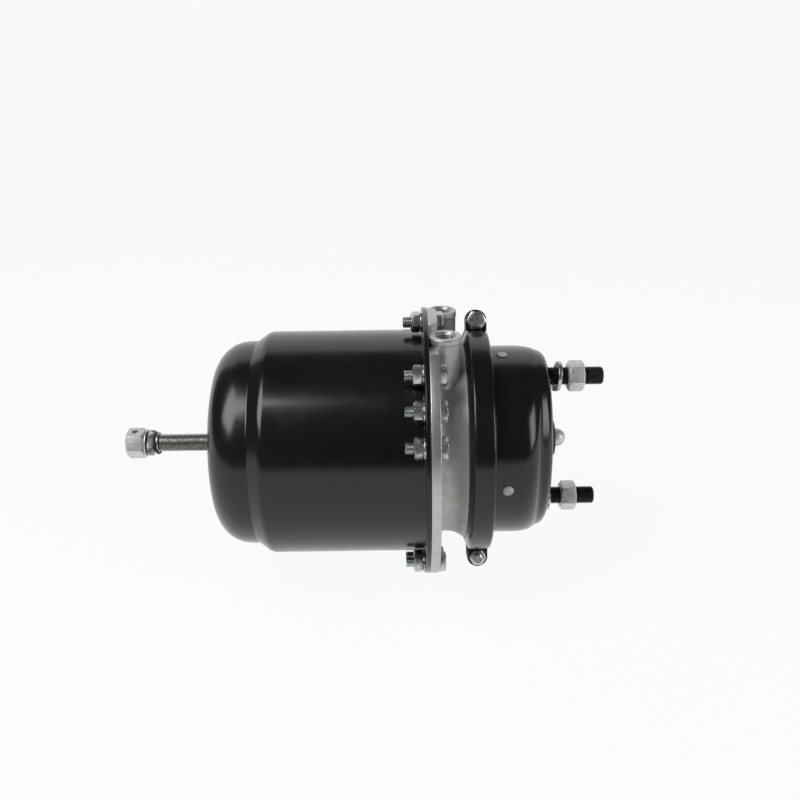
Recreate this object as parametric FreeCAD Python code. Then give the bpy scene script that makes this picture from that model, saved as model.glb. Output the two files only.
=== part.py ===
"""Spring brake chamber for a disc brake: a service chamber and a spring chamber on one axis.

Frame: the origin is the centre of the mounting face. +X runs along the axis, out of the
mounting face towards the brake, +Z points the way the two air ports face. Lengths in mm.
The chamber is stored with its power spring held back: the release bolt is wound out.
"""
import FreeCAD, Part
import math
import os

from FreeCAD import Vector

os.makedirs("parts", exist_ok=True)

# Running gap round pieces that slide or turn, and gap between seats of different bodies
RUN_GAP = 0.08
SEAT_GAP = 0.3
LOOSE_GAP = 0.3
CUT_OVER = 1.0

# Mounting end: the face that meets the brake, its two studs and their nuts
STUD_SPACING = 120.65
STUD_R = 8.0
STUD_REACH = 50.0
STUD_HEAD_LIP = 5.0
STUD_HEAD_T = 5.5
STUD_NUT_ANGLE = 6.0
STUD_TIP_CHAMFER = 1.6
STUD_NUT_AF = 24.0
STUD_NUT_H = 14.8
STUD_NUT_X = 18.6
STUD_WASHER_RIM = 5.6
STUD_WASHER_T = 3.6
STUD_WASHER_X = 6.2
STUD_WASHER_SLOT = 2.0
STUD_PLATE_T = 4.0
STUD_PLATE_END = 10.7
STUD_PLATE_HALF_WIDTH = 37.0
STUD_PLATE_HOLE_LIP = 4.0
STUD_HOLE_GAP = 0.2

# Push rod and the rubber boot in the middle of the mounting face
ROD_R = 8.0
ROD_PROUD = 20.7
ROD_COLLAR_R = 14.0
ROD_COLLAR_T = 8.0
BOOT_WALL = 11.0
BOOT_NECK = 3.0
BOOT_REACH = 9.8
BOOT_LIP_T = 3.0
BOOT_EDGE = 2.5
BOOT_SEAL_LENGTH = 2.0
BOOT_MOUTH = 3.0

# Mounting cover: the pressed steel dish with the raised oval pad
COVER_WALL = 3.0
PAD_HEIGHT = 9.0
PAD_STUD_MARGIN = 18.675
PAD_HALF_WIDTH = 65.0
PAD_SLOPE = 0.36
PAD_EDGE_FILLET = 6.0
PAD_TO_SIDE = 5.0
PAD_ROOT_DEPTH = 10.0
PAD_INSIDE_SIDE = 0.05
DISH_LIP = 1.0
DISH_FILLET = 6.0
SHOULDER_LENGTH = 18.5
SHOULDER_FILLET = 20.0
COVER_SIDE_LENGTH = 26.0
RIM_WIDTH = 8.5
RIM_FILLET = 3.0
VENT_SETBACK = 12.7
VENT_HOLE_R = 3.0
VENT_COUNT = 4
VENT_PLUG_R = 4.6
VENT_PLUG_DOME = 1.4
VENT_STEM = 1.5

# Diaphragm, push plate and return spring of the service chamber
DIAPHRAGM_T = 3.0
DIAPHRAGM_LIP_T = 4.0
DIAPHRAGM_WALL_GAP = 1.2
DIAPHRAGM_ROLL = 11.0
LIP_INSET = 0.5
PUSH_PLATE_T = 4.0
PUSH_PLATE_LIP = 6.0
PLATE_TO_WALL = 17.0
RETURN_WIRE_R = 2.2
RETURN_COIL_GAP = 9.8
RETURN_TURNS = 4.0

# Neck: the cast flange between the two chambers
NECK_RIM_T = 8.5
NECK_SHOULDER_RISE = 4.5
NECK_SHOULDER_LENGTH = 4.4
NECK_WAIST_LENGTH = 23.2
NECK_WAIST_DEPTH = 3.2
NECK_WAIST_FROM_FLANGE = 10.6
NECK_WAIST_ROUND = 18.0
NECK_WALL = 11.0
NECK_MOUTH_LIP = 10.5
NECK_FLANGE_T = 8.1
BULKHEAD_T = 8.5
BULKHEAD_SETBACK = 3.2
SPIGOT_LENGTH = 6.0
SPIGOT_WALL = 10.0
SPIGOT_GAP = 0.1
HUB_WALL = 10.0
HUB_LENGTH = 23.5
HUB_ROOT_ROUND = 4.0
CAVITY_ROUND = 10.0
HOUSING_SEAL_W = 2.8
HOUSING_SEAL_H = 2.6

# Air ports on the neck
PORT_SETBACK = 5.8
PORT_OFFSET = 33.0
PORT_HEIGHT = 28.0
PORT_BOSS_R = 13.3
PORT_BOSS_EDGE = 1.2
PORT_HOLE_R = 7.25
PORT_DEPTH = 16.0
PORT_CHAMFER = 1.6
PORT_SPOT_R = 16.0
PASSAGE_R = 2.6
PASSAGE_DEPTH = 7.0

# V clamp that holds the cover on the neck
CLAMP_WALL = 2.6
CLAMP_RISE = 7.0
CLAMP_PLAY = 0.4
CLAMP_SIDE_GAP = 1.0
CLAMP_LEAN_NECK = 0.4
CLAMP_LEAN_COVER = 0.14
CLAMP_ANGLE = -18.0
CLAMP_GAP = 9.0
CLAMP_EAR_T = 4.0
CLAMP_EAR_R = 9.3
CLAMP_BOLT_R = 4.0
CLAMP_BOLT_RISE = 7.7
CLAMP_HEAD_AF = 13.0
CLAMP_HEAD_T = 5.3
CLAMP_NUT_T = 6.5
CLAMP_BOLT_END = 5.0

# Spring housing: the deep drawn steel pot
HOUSING_R = 99.5
HOUSING_WALL = 4.0
BARREL_LENGTH = 138.3
STEP_LENGTH = 11.5
STEP_DEPTH = 8.3
DOME_LENGTH = 36.8
DOME_TAPER = 1.0
DOME_ROUND = 29.0
HOUSING_BEND = 1.2
BUSH_HOLE_R = 14.0
BUSH_LIP = 3.0
BUSH_COLLAR_T = 4.0
BUSH_REACH = 14.0

# Screws of the neck flange, measured as angles from the ports' side
FLANGE_BOLT_R = 5.0
FLANGE_HOLE_GAP = 0.4
FLANGE_BOLT_AF = 16.0
FLANGE_HEAD_T = 6.2
FLANGE_NUT_T = 8.2
FLANGE_WASHER_RIM = 4.0
FLANGE_WASHER_T = 1.6
FLANGE_BOLT_END = 6.8
BOLT_TO_BARREL = 1.5
BOLT_TO_EDGE = 9.5
FLANGE_BOLT_ANGLES = (-4.0, 36.0, 52.5, 67.5, 142.0, 164.0, -36.0, -52.5, -67.5, -142.0, -164.0)

# Spring piston and its push tube
STROKE = 54.0
PISTON_END_GAP = 1.8
PISTON_SIDE_GAP = 0.5
PISTON_CROWN_T = 6.0
PISTON_SKIRT_LENGTH = 35.0
PISTON_SKIRT_T = 6.0
PISTON_RECESS_GAP = 8.0
PISTON_RECESS_DEPTH = 24.0
SEAL_DEPTH = 3.0
SEAL_WIDTH = 6.0
SEAL_LIP = 1.5
SEAL_SETBACK = 12.0
GUIDE_DEPTH = 1.6
GUIDE_WIDTH = 8.0
GUIDE_SETBACK = 30.0
TUBE_R = 16.0
TUBE_WALL = 3.8
TUBE_SEAL_W = 4.0
TUBE_SEAL_EDGE = 4.0
TUBE_SEAL_V = 0.9
FOOT_T = 4.0
FOOT_PROUD = 3.0
FOOT_RIM = 3.0
FOOT_PLUG = 8.0
STOP_RING_T = 4.0
POWER_WIRE_R = 6.0
POWER_COIL_INSET = 1.2
POWER_TURNS = 6.0
SEAT_RING_T = 3.0
SEAT_RING_INSET = 4.0

# Release bolt and what is on it
RELEASE_R = 7.9
RELEASE_CLEAR = 1.7
RELEASE_HEX_AF = 24.0
RELEASE_HEX_T = 16.6
RELEASE_HEX_ANGLE = 6.0
RELEASE_HOLE_SHARE = 0.47
RELEASE_TIP_INSET = 0.8
RELEASE_HOLE_R = 2.8
RELEASE_PIN_INSET = 3.0
RELEASE_WASHER_RIM = 4.7
RELEASE_WASHER_T = 1.8
RELEASE_COLLAR_RIM = 3.7
RELEASE_COLLAR_T = 6.6
RELEASE_RING_RIM = 2.6
RELEASE_RING_T = 1.6
RELEASE_SLEEVE_RIM = 2.5
RELEASE_SLEEVE_T = 2.6
RELEASE_HEAD_T = 9.0
RELEASE_HEAD_GAP = 0.5
RING_LOOSE_GAP = 0.15

# Radii that follow, from the studs outwards
PAD_HALF_LENGTH = STUD_SPACING / 2 + PAD_STUD_MARGIN
COVER_R = PAD_HALF_LENGTH + PAD_TO_SIDE
RIM_R = COVER_R + RIM_WIDTH
STUD_HEAD_R = STUD_R + STUD_HEAD_LIP
STUD_WASHER_R = STUD_R + STUD_WASHER_RIM
CLAMP_R = RIM_R + CLAMP_RISE
CLAMP_BOLT_AT_R = CLAMP_R + CLAMP_BOLT_RISE
NECK_R = COVER_R
NECK_WAIST_R = NECK_R - NECK_WAIST_DEPTH
NECK_SHOULDER_R = NECK_R + NECK_SHOULDER_RISE
NECK_RIM_R = RIM_R - LIP_INSET
NECK_CAVITY_R = NECK_R - NECK_WALL
NECK_MOUTH_R = RIM_R - NECK_MOUTH_LIP
BOOT_R = ROD_R + BOOT_WALL
BOOT_HOLE_R = BOOT_R - BOOT_NECK
PUSH_PLATE_R = NECK_CAVITY_R - PLATE_TO_WALL
DIAPHRAGM_DISC_R = NECK_CAVITY_R - DIAPHRAGM_ROLL
RETURN_COIL_R = BOOT_R + RETURN_COIL_GAP + BOOT_NECK + RETURN_WIRE_R
HUB_R = TUBE_R + HUB_WALL
SPIGOT_R = HOUSING_R - HOUSING_WALL - SPIGOT_GAP
SPIGOT_BORE_R = SPIGOT_R - SPIGOT_WALL
FLANGE_HOLE_R = FLANGE_BOLT_R + FLANGE_HOLE_GAP
FLANGE_WASHER_R = FLANGE_BOLT_R + FLANGE_WASHER_RIM
FLANGE_BOLT_CIRCLE_R = HOUSING_R + BOLT_TO_BARREL + FLANGE_WASHER_R
NECK_FLANGE_R = FLANGE_BOLT_CIRCLE_R + BOLT_TO_EDGE
HOUSING_STEP_R = HOUSING_R - STEP_DEPTH
HOUSING_DOME_R = HOUSING_STEP_R - DOME_TAPER
DOME_FLAT_R = HOUSING_DOME_R - DOME_ROUND
PISTON_R = HOUSING_R - HOUSING_WALL - PISTON_SIDE_GAP
PISTON_RECESS_R = HUB_R + PISTON_RECESS_GAP
POWER_COIL_R = DOME_FLAT_R - POWER_COIL_INSET
TUBE_BORE_R = TUBE_R - TUBE_WALL
FOOT_R = TUBE_BORE_R + FOOT_RIM
BUSH_R = BUSH_HOLE_R + BUSH_LIP
RELEASE_WASHER_R = RELEASE_R + RELEASE_WASHER_RIM
RELEASE_COLLAR_R = RELEASE_R + RELEASE_COLLAR_RIM
RELEASE_RING_R = RELEASE_R + RELEASE_RING_RIM
RELEASE_SLEEVE_R = RELEASE_R + RELEASE_SLEEVE_RIM
RELEASE_HEAD_R = TUBE_BORE_R - RELEASE_HEAD_GAP

# Places along the axis that follow, from the mounting face towards the release bolt
SHOULDER_X = -PAD_HEIGHT - SHOULDER_LENGTH
RIM_X1 = SHOULDER_X - COVER_SIDE_LENGTH
RIM_X0 = RIM_X1 - COVER_WALL
VENT_X = SHOULDER_X - VENT_SETBACK
NECK_RIM_X1 = RIM_X0 - DIAPHRAGM_LIP_T
NECK_RIM_X0 = NECK_RIM_X1 - NECK_RIM_T
NECK_SHOULDER_X = NECK_RIM_X0 - NECK_SHOULDER_LENGTH
NECK_FLANGE_X1 = NECK_SHOULDER_X - NECK_WAIST_LENGTH
NECK_X0 = NECK_FLANGE_X1 - NECK_FLANGE_T
NECK_WAIST_X = NECK_FLANGE_X1 + NECK_WAIST_FROM_FLANGE
PORT_X = NECK_FLANGE_X1 + PORT_SETBACK
BULKHEAD_X0 = NECK_X0 + BULKHEAD_SETBACK
BULKHEAD_X1 = BULKHEAD_X0 + BULKHEAD_T
HUB_X0 = BULKHEAD_X0 - HUB_LENGTH
SPIGOT_X0 = NECK_X0 - SPIGOT_LENGTH
HOUSING_STEP_X1 = NECK_X0 - BARREL_LENGTH
HOUSING_STEP_X0 = HOUSING_STEP_X1 - STEP_LENGTH
HOUSING_END_X = HOUSING_STEP_X0 - DOME_LENGTH
DIAPHRAGM_X0 = BULKHEAD_X1 + FOOT_PROUD
DIAPHRAGM_X1 = DIAPHRAGM_X0 + DIAPHRAGM_T
TUBE_END_X = DIAPHRAGM_X0 - FOOT_T
PISTON_FACE_X = SPIGOT_X0 - PISTON_END_GAP - STROKE
TUBE_X0 = PISTON_FACE_X - PISTON_RECESS_DEPTH - PISTON_CROWN_T
RELEASE_END_X = HOUSING_END_X - STROKE - RELEASE_CLEAR
RELEASE_STACK_T = RELEASE_WASHER_T + RELEASE_COLLAR_T + RELEASE_RING_T + RELEASE_SLEEVE_T
RELEASE_HEX_X0 = RELEASE_END_X - RELEASE_STACK_T - RELEASE_HEX_T

# Heights of the air ports and their drillings
PORT_TOP = NECK_R + PORT_HEIGHT
PORT_BOSS_ROOT = math.sqrt(NECK_CAVITY_R ** 2 - (PORT_OFFSET + PORT_BOSS_R) ** 2) - CUT_OVER
SPRING_PASSAGE_Z = math.sqrt((SPIGOT_R - PASSAGE_DEPTH) ** 2 - PORT_OFFSET ** 2)


def rounded_edges(points, closed=True):
    """Edges of a profile in the X-Z plane. A point is (x, r) or (x, r, corner radius)."""
    spots = [Vector(p[0], 0, p[1]) for p in points]
    radii = [p[2] if len(p) > 2 else 0.0 for p in points]
    count = len(spots)
    starts, ends, arcs = [], [], []
    for i, spot in enumerate(spots):
        if not radii[i]:
            starts.append(spot)
            ends.append(spot)
            arcs.append(None)
            continue
        back = (spots[i - 1] - spot).normalize()
        ahead = (spots[(i + 1) % count] - spot).normalize()
        half = back.getAngle(ahead) / 2
        reach = radii[i] / math.tan(half)
        inward = (back + ahead).normalize()
        centre = spot + inward * (radii[i] / math.sin(half))
        starts.append(spot + back * reach)
        ends.append(spot + ahead * reach)
        arcs.append(Part.Arc(starts[i], centre - inward * radii[i], ends[i]).toShape())
    edges = []
    last = count if closed else count - 1
    for i in range(count):
        if arcs[i]:
            edges.append(arcs[i])
        following = (i + 1) % count
        if i < last and (starts[following] - ends[i]).Length > 1e-6:
            edges.append(Part.LineSegment(ends[i], starts[following]).toShape())
    return edges


def turned(points):
    """Solid of revolution about the X axis from a closed profile."""
    face = Part.Face(Part.Wire(rounded_edges(points)))
    return face.revolve(Vector(0, 0, 0), Vector(1, 0, 0), 360)


def ring(x0, x1, inner, outer):
    """Plain ring about the X axis."""
    return turned([(x0, inner), (x0, outer), (x1, outer), (x1, inner)])


def rod_x(x0, x1, radius, y=0.0, z=0.0):
    """Plain cylinder along +X."""
    return Part.makeCylinder(radius, x1 - x0, Vector(x0, y, z), Vector(1, 0, 0))


def hexagon(x0, thickness, across_flats, bore=0.0, both_ends=True, chamfer_share=0.12):
    """Hexagon prism along +X with its corners turned off at 30 degrees, one flat facing +Z."""
    corner = across_flats / 2 / math.cos(math.pi / 6)
    turn_off = corner - across_flats / 2 * (1 - chamfer_share)
    drop = turn_off * math.tan(math.pi / 6)
    corners = [Vector(x0, corner * math.cos(math.radians(60 * k)), corner * math.sin(math.radians(60 * k)))
               for k in range(7)]
    prism = Part.Face(Part.makePolygon(corners)).extrude(Vector(thickness, 0, 0))
    x1 = x0 + thickness
    low = drop if both_ends else 0.0
    low_r = corner - turn_off if both_ends else corner + 1
    envelope = turned([(x0, 0), (x0, low_r), (x0 + low + 1e-3, corner + 0.01), (x1 - drop, corner + 0.01),
                       (x1, corner - turn_off), (x1, 0)])
    shape = prism.common(envelope)
    if bore:
        shape = shape.cut(rod_x(x0 - 1, x1 + 1, bore))
    return shape


def spun(shape, degrees):
    """Copy of a shape turned about the X axis, from +Z towards -Y."""
    copy = shape.copy()
    copy.rotate(Vector(0, 0, 0), Vector(1, 0, 0), degrees)
    return copy


def shifted(shape, x=0.0, y=0.0, z=0.0):
    """Copy of a shape moved by the given lengths."""
    copy = shape.copy()
    copy.translate(Vector(x, y, z))
    return copy


def group(shapes):
    """Separate solids of one node."""
    solids = [solid for shape in shapes for solid in shape.Solids]
    return Part.makeCompound(solids)


def ellipse_wire(x, half_length, half_width):
    """Ellipse across the axis at x, longer along Z."""
    curve = Part.Ellipse(Vector(x, 0, half_length), Vector(x, half_width, 0), Vector(x, 0, 0))
    return Part.Wire(curve.toShape())


def coil(x0, x1, coil_r, wire_r, turns):
    """Open coil spring between two planes across the axis, wire touching both."""
    length = x1 - x0 - 2 * wire_r
    helix = Part.makeHelix(length / turns, length, coil_r)
    start = Part.Circle(Vector(coil_r, 0, 0), Vector(0, 1, 0), wire_r).toShape()
    wire = Part.Wire(helix).makePipeShell([Part.Wire(start)], True, True)
    wire.rotate(Vector(0, 0, 0), Vector(0, 1, 0), 90)
    wire.translate(Vector(x0 + wire_r, 0, 0))
    return wire


# Spring housing

def housing_profile():
    """Closed section of the drawn pot, outer skin first, then the inner skin back."""
    wall = HOUSING_WALL
    end, dome = HOUSING_END_X, DOME_ROUND
    flange_x0 = NECK_X0 - wall
    outer = [(end, BUSH_HOLE_R), (end, HOUSING_DOME_R, dome),
             (HOUSING_STEP_X0, HOUSING_STEP_R, 3.0), (HOUSING_STEP_X1, HOUSING_R, 9.0),
             (flange_x0, HOUSING_R, HOUSING_BEND), (flange_x0, NECK_FLANGE_R, 0.8)]
    inner = [(NECK_X0, NECK_FLANGE_R, 0.8), (NECK_X0, HOUSING_R - wall, HOUSING_BEND + wall / 2),
             (HOUSING_STEP_X1, HOUSING_R - wall, 5.0), (HOUSING_STEP_X0, HOUSING_STEP_R - wall, 7.0),
             (end + wall, HOUSING_DOME_R - wall, dome - wall), (end + wall, BUSH_HOLE_R)]
    return outer + inner


def flange_spots(radius, x):
    """Centres of the flange screws."""
    for angle in FLANGE_BOLT_ANGLES:
        turn = math.radians(angle)
        yield Vector(x, -radius * math.sin(turn), radius * math.cos(turn)), angle


def drill_flange(shape, x0, x1):
    """Cut the flange screw holes between two planes."""
    for spot, _ in flange_spots(FLANGE_BOLT_CIRCLE_R, x0):
        shape = shape.cut(Part.makeCylinder(FLANGE_HOLE_R, x1 - x0, spot, Vector(1, 0, 0)))
    return shape


def make_spring_housing():
    pot = turned(housing_profile())
    return drill_flange(pot, NECK_X0 - HOUSING_WALL - CUT_OVER, NECK_X0 + CUT_OVER)


def make_release_bush():
    """Threaded bush pressed through the middle of the dome, collar inside."""
    x0 = HOUSING_END_X
    collar = x0 + HOUSING_WALL
    bore = RELEASE_R + RUN_GAP
    return turned([(x0, bore + 0.8), (x0, BUSH_HOLE_R), (collar, BUSH_HOLE_R), (collar, BUSH_R),
                   (collar + BUSH_COLLAR_T, BUSH_R), (collar + BUSH_COLLAR_T, BUSH_HOLE_R),
                   (x0 + BUSH_REACH, BUSH_HOLE_R, 1.0), (x0 + BUSH_REACH, bore), (x0 + 0.8, bore)])


# Neck casting

def neck_profile():
    """Closed section of the casting: flange, waist, rim, cavity, bulkhead, hub and spigot."""
    bore = TUBE_R + RUN_GAP
    return [(HUB_X0, bore), (HUB_X0, HUB_R, 2.0), (BULKHEAD_X0, HUB_R, HUB_ROOT_ROUND),
            (BULKHEAD_X0, SPIGOT_BORE_R, 3.0), (SPIGOT_X0, SPIGOT_BORE_R, 1.5), (SPIGOT_X0, SPIGOT_R, 1.5),
            (NECK_X0, SPIGOT_R), (NECK_X0, NECK_FLANGE_R, 0.8), (NECK_FLANGE_X1, NECK_FLANGE_R, 0.8),
            (NECK_FLANGE_X1, NECK_R, 3.0), (NECK_WAIST_X, NECK_WAIST_R, NECK_WAIST_ROUND),
            (NECK_SHOULDER_X, NECK_SHOULDER_R, 2.0), (NECK_RIM_X0, NECK_SHOULDER_R),
            (NECK_RIM_X0, NECK_RIM_R, 1.0), (NECK_RIM_X1, NECK_RIM_R, 1.0),
            (NECK_RIM_X1, NECK_MOUTH_R, 3.0), (BULKHEAD_X1, NECK_CAVITY_R, CAVITY_ROUND),
            (BULKHEAD_X1, bore)]


def port_sides():
    """The service port lies towards -Y and the spring port towards +Y."""
    return {"service": -PORT_OFFSET, "spring": PORT_OFFSET}


def neck_hollows():
    """Spaces inside the neck: the service chamber and the ring space beside the hub."""
    mouth_x, mouth_r = NECK_RIM_X1 + CUT_OVER, NECK_MOUTH_R + CUT_OVER
    service = turned([(BULKHEAD_X1, 0), (BULKHEAD_X1, NECK_CAVITY_R, CAVITY_ROUND),
                      (NECK_RIM_X1, NECK_MOUTH_R, 3.0), (mouth_x, mouth_r), (mouth_x, 0)])
    spring = turned([(SPIGOT_X0 - CUT_OVER, HUB_R + HUB_ROOT_ROUND), (SPIGOT_X0 - CUT_OVER, SPIGOT_BORE_R),
                     (BULKHEAD_X0, SPIGOT_BORE_R, 3.0), (BULKHEAD_X0, HUB_R + HUB_ROOT_ROUND)])
    return service, spring


def port_boss(y):
    """Cast boss of one air port, trimmed to the spaces inside the neck."""
    boss = Part.makeCylinder(PORT_BOSS_R, PORT_TOP - PORT_BOSS_ROOT, Vector(PORT_X, y, PORT_BOSS_ROOT),
                             Vector(0, 0, 1))
    top = [edge for edge in boss.Edges if edge.BoundBox.ZMin > PORT_TOP - 0.1]
    boss = boss.makeFillet(PORT_BOSS_EDGE, top)
    for hollow in neck_hollows():
        boss = boss.cut(hollow)
    return boss


def port_cutter(name, y):
    """Threaded hole of one port, its countersink and the drilling below it."""
    up = Vector(0, 0, 1)
    hole = Part.makeCylinder(PORT_HOLE_R, PORT_DEPTH, Vector(PORT_X, y, PORT_TOP - PORT_DEPTH), up)
    reach = PORT_CHAMFER + CUT_OVER / 2
    foot = Vector(PORT_X, y, PORT_TOP - PORT_CHAMFER)
    mouth = Part.makeCone(PORT_HOLE_R, PORT_HOLE_R + reach, reach, foot, up)
    floor = PORT_BOSS_ROOT if name == "service" else SPRING_PASSAGE_Z - PASSAGE_R
    drill = Part.makeCylinder(PASSAGE_R, PORT_TOP - floor - CUT_OVER, Vector(PORT_X, y, floor), up)
    return hole.fuse([mouth, drill])


def port_spot(y):
    """Spot face over one port, which clears the flange for the fitting."""
    return Part.makeCylinder(PORT_SPOT_R, NECK_FLANGE_R, Vector(PORT_X, y, PORT_TOP), Vector(0, 0, 1))


def make_neck_flange():
    neck = turned(neck_profile())
    neck = neck.cut([port_spot(y) for y in port_sides().values()])
    neck = neck.fuse([port_boss(y) for y in port_sides().values()])
    for name, y in port_sides().items():
        neck = neck.cut(port_cutter(name, y))
    cross = rod_x(SPIGOT_X0 - CUT_OVER, PORT_X, PASSAGE_R, PORT_OFFSET, SPRING_PASSAGE_Z)
    neck = neck.cut([cross, seal_groove_cutter(), housing_seal_cutter(0.0)])
    neck = drill_flange(neck, NECK_X0 - CUT_OVER, NECK_FLANGE_X1 + CUT_OVER)
    return max(neck.Solids, key=lambda solid: solid.Volume)


def hub_grooves():
    """Starts of the two lip seal grooves and the guide bush groove in the hub bore."""
    first = HUB_X0 + TUBE_SEAL_EDGE
    second = BULKHEAD_X1 - TUBE_SEAL_EDGE - TUBE_SEAL_W
    return (first, second), (first + TUBE_SEAL_W + second - GUIDE_WIDTH) / 2


def seal_groove_cutter():
    seals, guide = hub_grooves()
    inner = TUBE_R - CUT_OVER
    cutter = ring(guide, guide + GUIDE_WIDTH, inner, TUBE_R + GUIDE_DEPTH)
    for x in seals:
        cutter = cutter.fuse(ring(x, x + TUBE_SEAL_W, inner, TUBE_R + SEAL_DEPTH))
    return cutter


def make_tube_seals():
    seals, _ = hub_grooves()
    outer, lip = TUBE_R + SEAL_DEPTH, TUBE_R + RUN_GAP
    flank = lip + TUBE_SEAL_V
    return group([turned([(x, outer), (x + TUBE_SEAL_W, outer), (x + TUBE_SEAL_W, flank),
                          (x + TUBE_SEAL_W / 2, lip), (x, flank)]) for x in seals])


def make_tube_guide():
    _, guide = hub_grooves()
    return ring(guide, guide + GUIDE_WIDTH, TUBE_R + RUN_GAP, TUBE_R + GUIDE_DEPTH)


def housing_seal_cutter(slack):
    """Space of the round seal between spigot and housing."""
    outer = HOUSING_R - HOUSING_WALL
    middle = NECK_X0 - SPIGOT_LENGTH / 2
    half = HOUSING_SEAL_W / 2 - slack
    return ring(middle - half, middle + half, outer - HOUSING_SEAL_H + slack, outer - slack)


def make_housing_seal():
    return housing_seal_cutter(0.02)


# Screws of the neck flange

def make_flange_bolts():
    head_x = NECK_FLANGE_X1
    tip_x = NECK_X0 - HOUSING_WALL - FLANGE_WASHER_T - FLANGE_NUT_T - FLANGE_BOLT_END
    head = shifted(hexagon(0, FLANGE_HEAD_T, FLANGE_BOLT_AF, both_ends=False), head_x)
    shank = turned([(tip_x, 0), (tip_x, FLANGE_BOLT_R - 0.9), (tip_x + 0.9, FLANGE_BOLT_R),
                    (head_x + CUT_OVER, FLANGE_BOLT_R), (head_x + CUT_OVER, 0)])
    screw = head.fuse(shank)
    return group([shifted(spun(screw, angle), y=spot.y, z=spot.z)
                  for spot, angle in flange_spots(FLANGE_BOLT_CIRCLE_R, 0)])


def make_flange_washers():
    x1 = NECK_X0 - HOUSING_WALL
    washer = ring(x1 - FLANGE_WASHER_T, x1, FLANGE_BOLT_R + LOOSE_GAP, FLANGE_WASHER_R)
    return group([shifted(washer, y=spot.y, z=spot.z) for spot, _ in flange_spots(FLANGE_BOLT_CIRCLE_R, 0)])


def make_flange_nuts():
    x0 = NECK_X0 - HOUSING_WALL - FLANGE_WASHER_T - FLANGE_NUT_T
    nut = hexagon(x0, FLANGE_NUT_T, FLANGE_BOLT_AF, bore=FLANGE_BOLT_R)
    return group([shifted(spun(nut, angle), y=spot.y, z=spot.z)
                  for spot, angle in flange_spots(FLANGE_BOLT_CIRCLE_R, 0)])


# Mounting cover

def cover_skin(inset):
    """Solid inside the cover's outer skin, drawn in by an even wall for the inner skin."""
    side_r = COVER_R - inset
    dish_x, dish_r = -PAD_HEIGHT - inset, PAD_HALF_WIDTH + DISH_LIP
    body = turned([(RIM_X0, 0), (RIM_X0, side_r), (SHOULDER_X, side_r, SHOULDER_FILLET),
                   (dish_x, dish_r, DISH_FILLET), (dish_x, 0)])
    low, high = SHOULDER_X - PAD_ROOT_DEPTH, -inset
    length, width = PAD_HALF_LENGTH - inset, PAD_HALF_WIDTH - inset
    flare = PAD_SLOPE * (high - low)
    pad = Part.makeLoft([ellipse_wire(low, length + flare, width + flare),
                         ellipse_wire(high, length, width)], True)
    pad = pad.common(rod_x(low, high, side_r - PAD_INSIDE_SIDE))
    top = [edge for edge in pad.Edges if edge.BoundBox.XMin > high - 0.1]
    pad = pad.makeFillet(PAD_EDGE_FILLET - min(inset, 1.0), top)
    return body.fuse(pad)


def make_mounting_cover():
    inner, over = COVER_R - COVER_WALL, RIM_X1 + RIM_FILLET + CUT_OVER
    rim = turned([(RIM_X0, inner), (RIM_X0, RIM_R, 1.0), (RIM_X1, RIM_R, 1.0),
                  (RIM_X1, COVER_R, RIM_FILLET), (over, COVER_R), (over, inner)])
    cover = cover_skin(0.0).fuse(rim).cut(cover_skin(COVER_WALL))
    through = -COVER_WALL - CUT_OVER
    cover = cover.cut(rod_x(through, CUT_OVER, BOOT_HOLE_R))
    for z in stud_heights():
        cover = cover.cut(rod_x(through, CUT_OVER, STUD_R + STUD_HOLE_GAP, 0, z))
    for k in range(VENT_COUNT):
        hole = Part.makeCylinder(VENT_HOLE_R, COVER_R + CUT_OVER, Vector(VENT_X, 0, 0), Vector(0, 0, 1))
        cover = cover.cut(spun(hole, 360.0 / VENT_COUNT * k))
    return max(cover.Solids, key=lambda solid: solid.Volume)


def make_vent_plugs():
    """Push-in plugs of the four vents, a low dome outside and a stem through the wall."""
    up, start = Vector(0, 0, 1), COVER_R - COVER_WALL - VENT_STEM
    stem = Part.makeCylinder(VENT_HOLE_R, COVER_WALL + VENT_STEM + VENT_PLUG_DOME / 2,
                             Vector(VENT_X, 0, start), up)
    head = Part.makeCylinder(VENT_PLUG_R, VENT_PLUG_DOME, Vector(VENT_X, 0, COVER_R + 0.02), up)
    rim = [edge for edge in head.Edges if edge.BoundBox.ZMin > COVER_R + VENT_PLUG_DOME - 0.1]
    head = head.makeFillet(VENT_PLUG_DOME * 0.8, rim)
    plug = stem.fuse(head)
    return group([spun(plug, 360.0 / VENT_COUNT * k) for k in range(VENT_COUNT)])


# Studs of the mounting face

def stud_heights():
    return (STUD_SPACING / 2, -STUD_SPACING / 2)


def make_stud_plate():
    """Stiffening plate inside the pad that both stud heads bear on."""
    x0 = -COVER_WALL - STUD_PLATE_T
    outline = ellipse_wire(x0, STUD_SPACING / 2 + STUD_PLATE_END, STUD_PLATE_HALF_WIDTH)
    plate = Part.Face(outline).extrude(Vector(STUD_PLATE_T, 0, 0))
    plate = plate.cut(rod_x(x0 - CUT_OVER, 0, BOOT_R + STUD_PLATE_HOLE_LIP))
    for z in stud_heights():
        plate = plate.cut(rod_x(x0 - CUT_OVER, 0, STUD_R + STUD_HOLE_GAP, 0, z))
    return plate


def make_mounting_studs():
    head_x1 = -COVER_WALL - STUD_PLATE_T
    head_x0 = head_x1 - STUD_HEAD_T
    tip = STUD_REACH
    stud = turned([(head_x0, 0), (head_x0, STUD_HEAD_R, 1.5), (head_x1, STUD_HEAD_R), (head_x1, STUD_R),
                   (tip - STUD_TIP_CHAMFER, STUD_R), (tip, STUD_R - STUD_TIP_CHAMFER), (tip, 0)])
    return group([shifted(stud, z=z) for z in stud_heights()])


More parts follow.
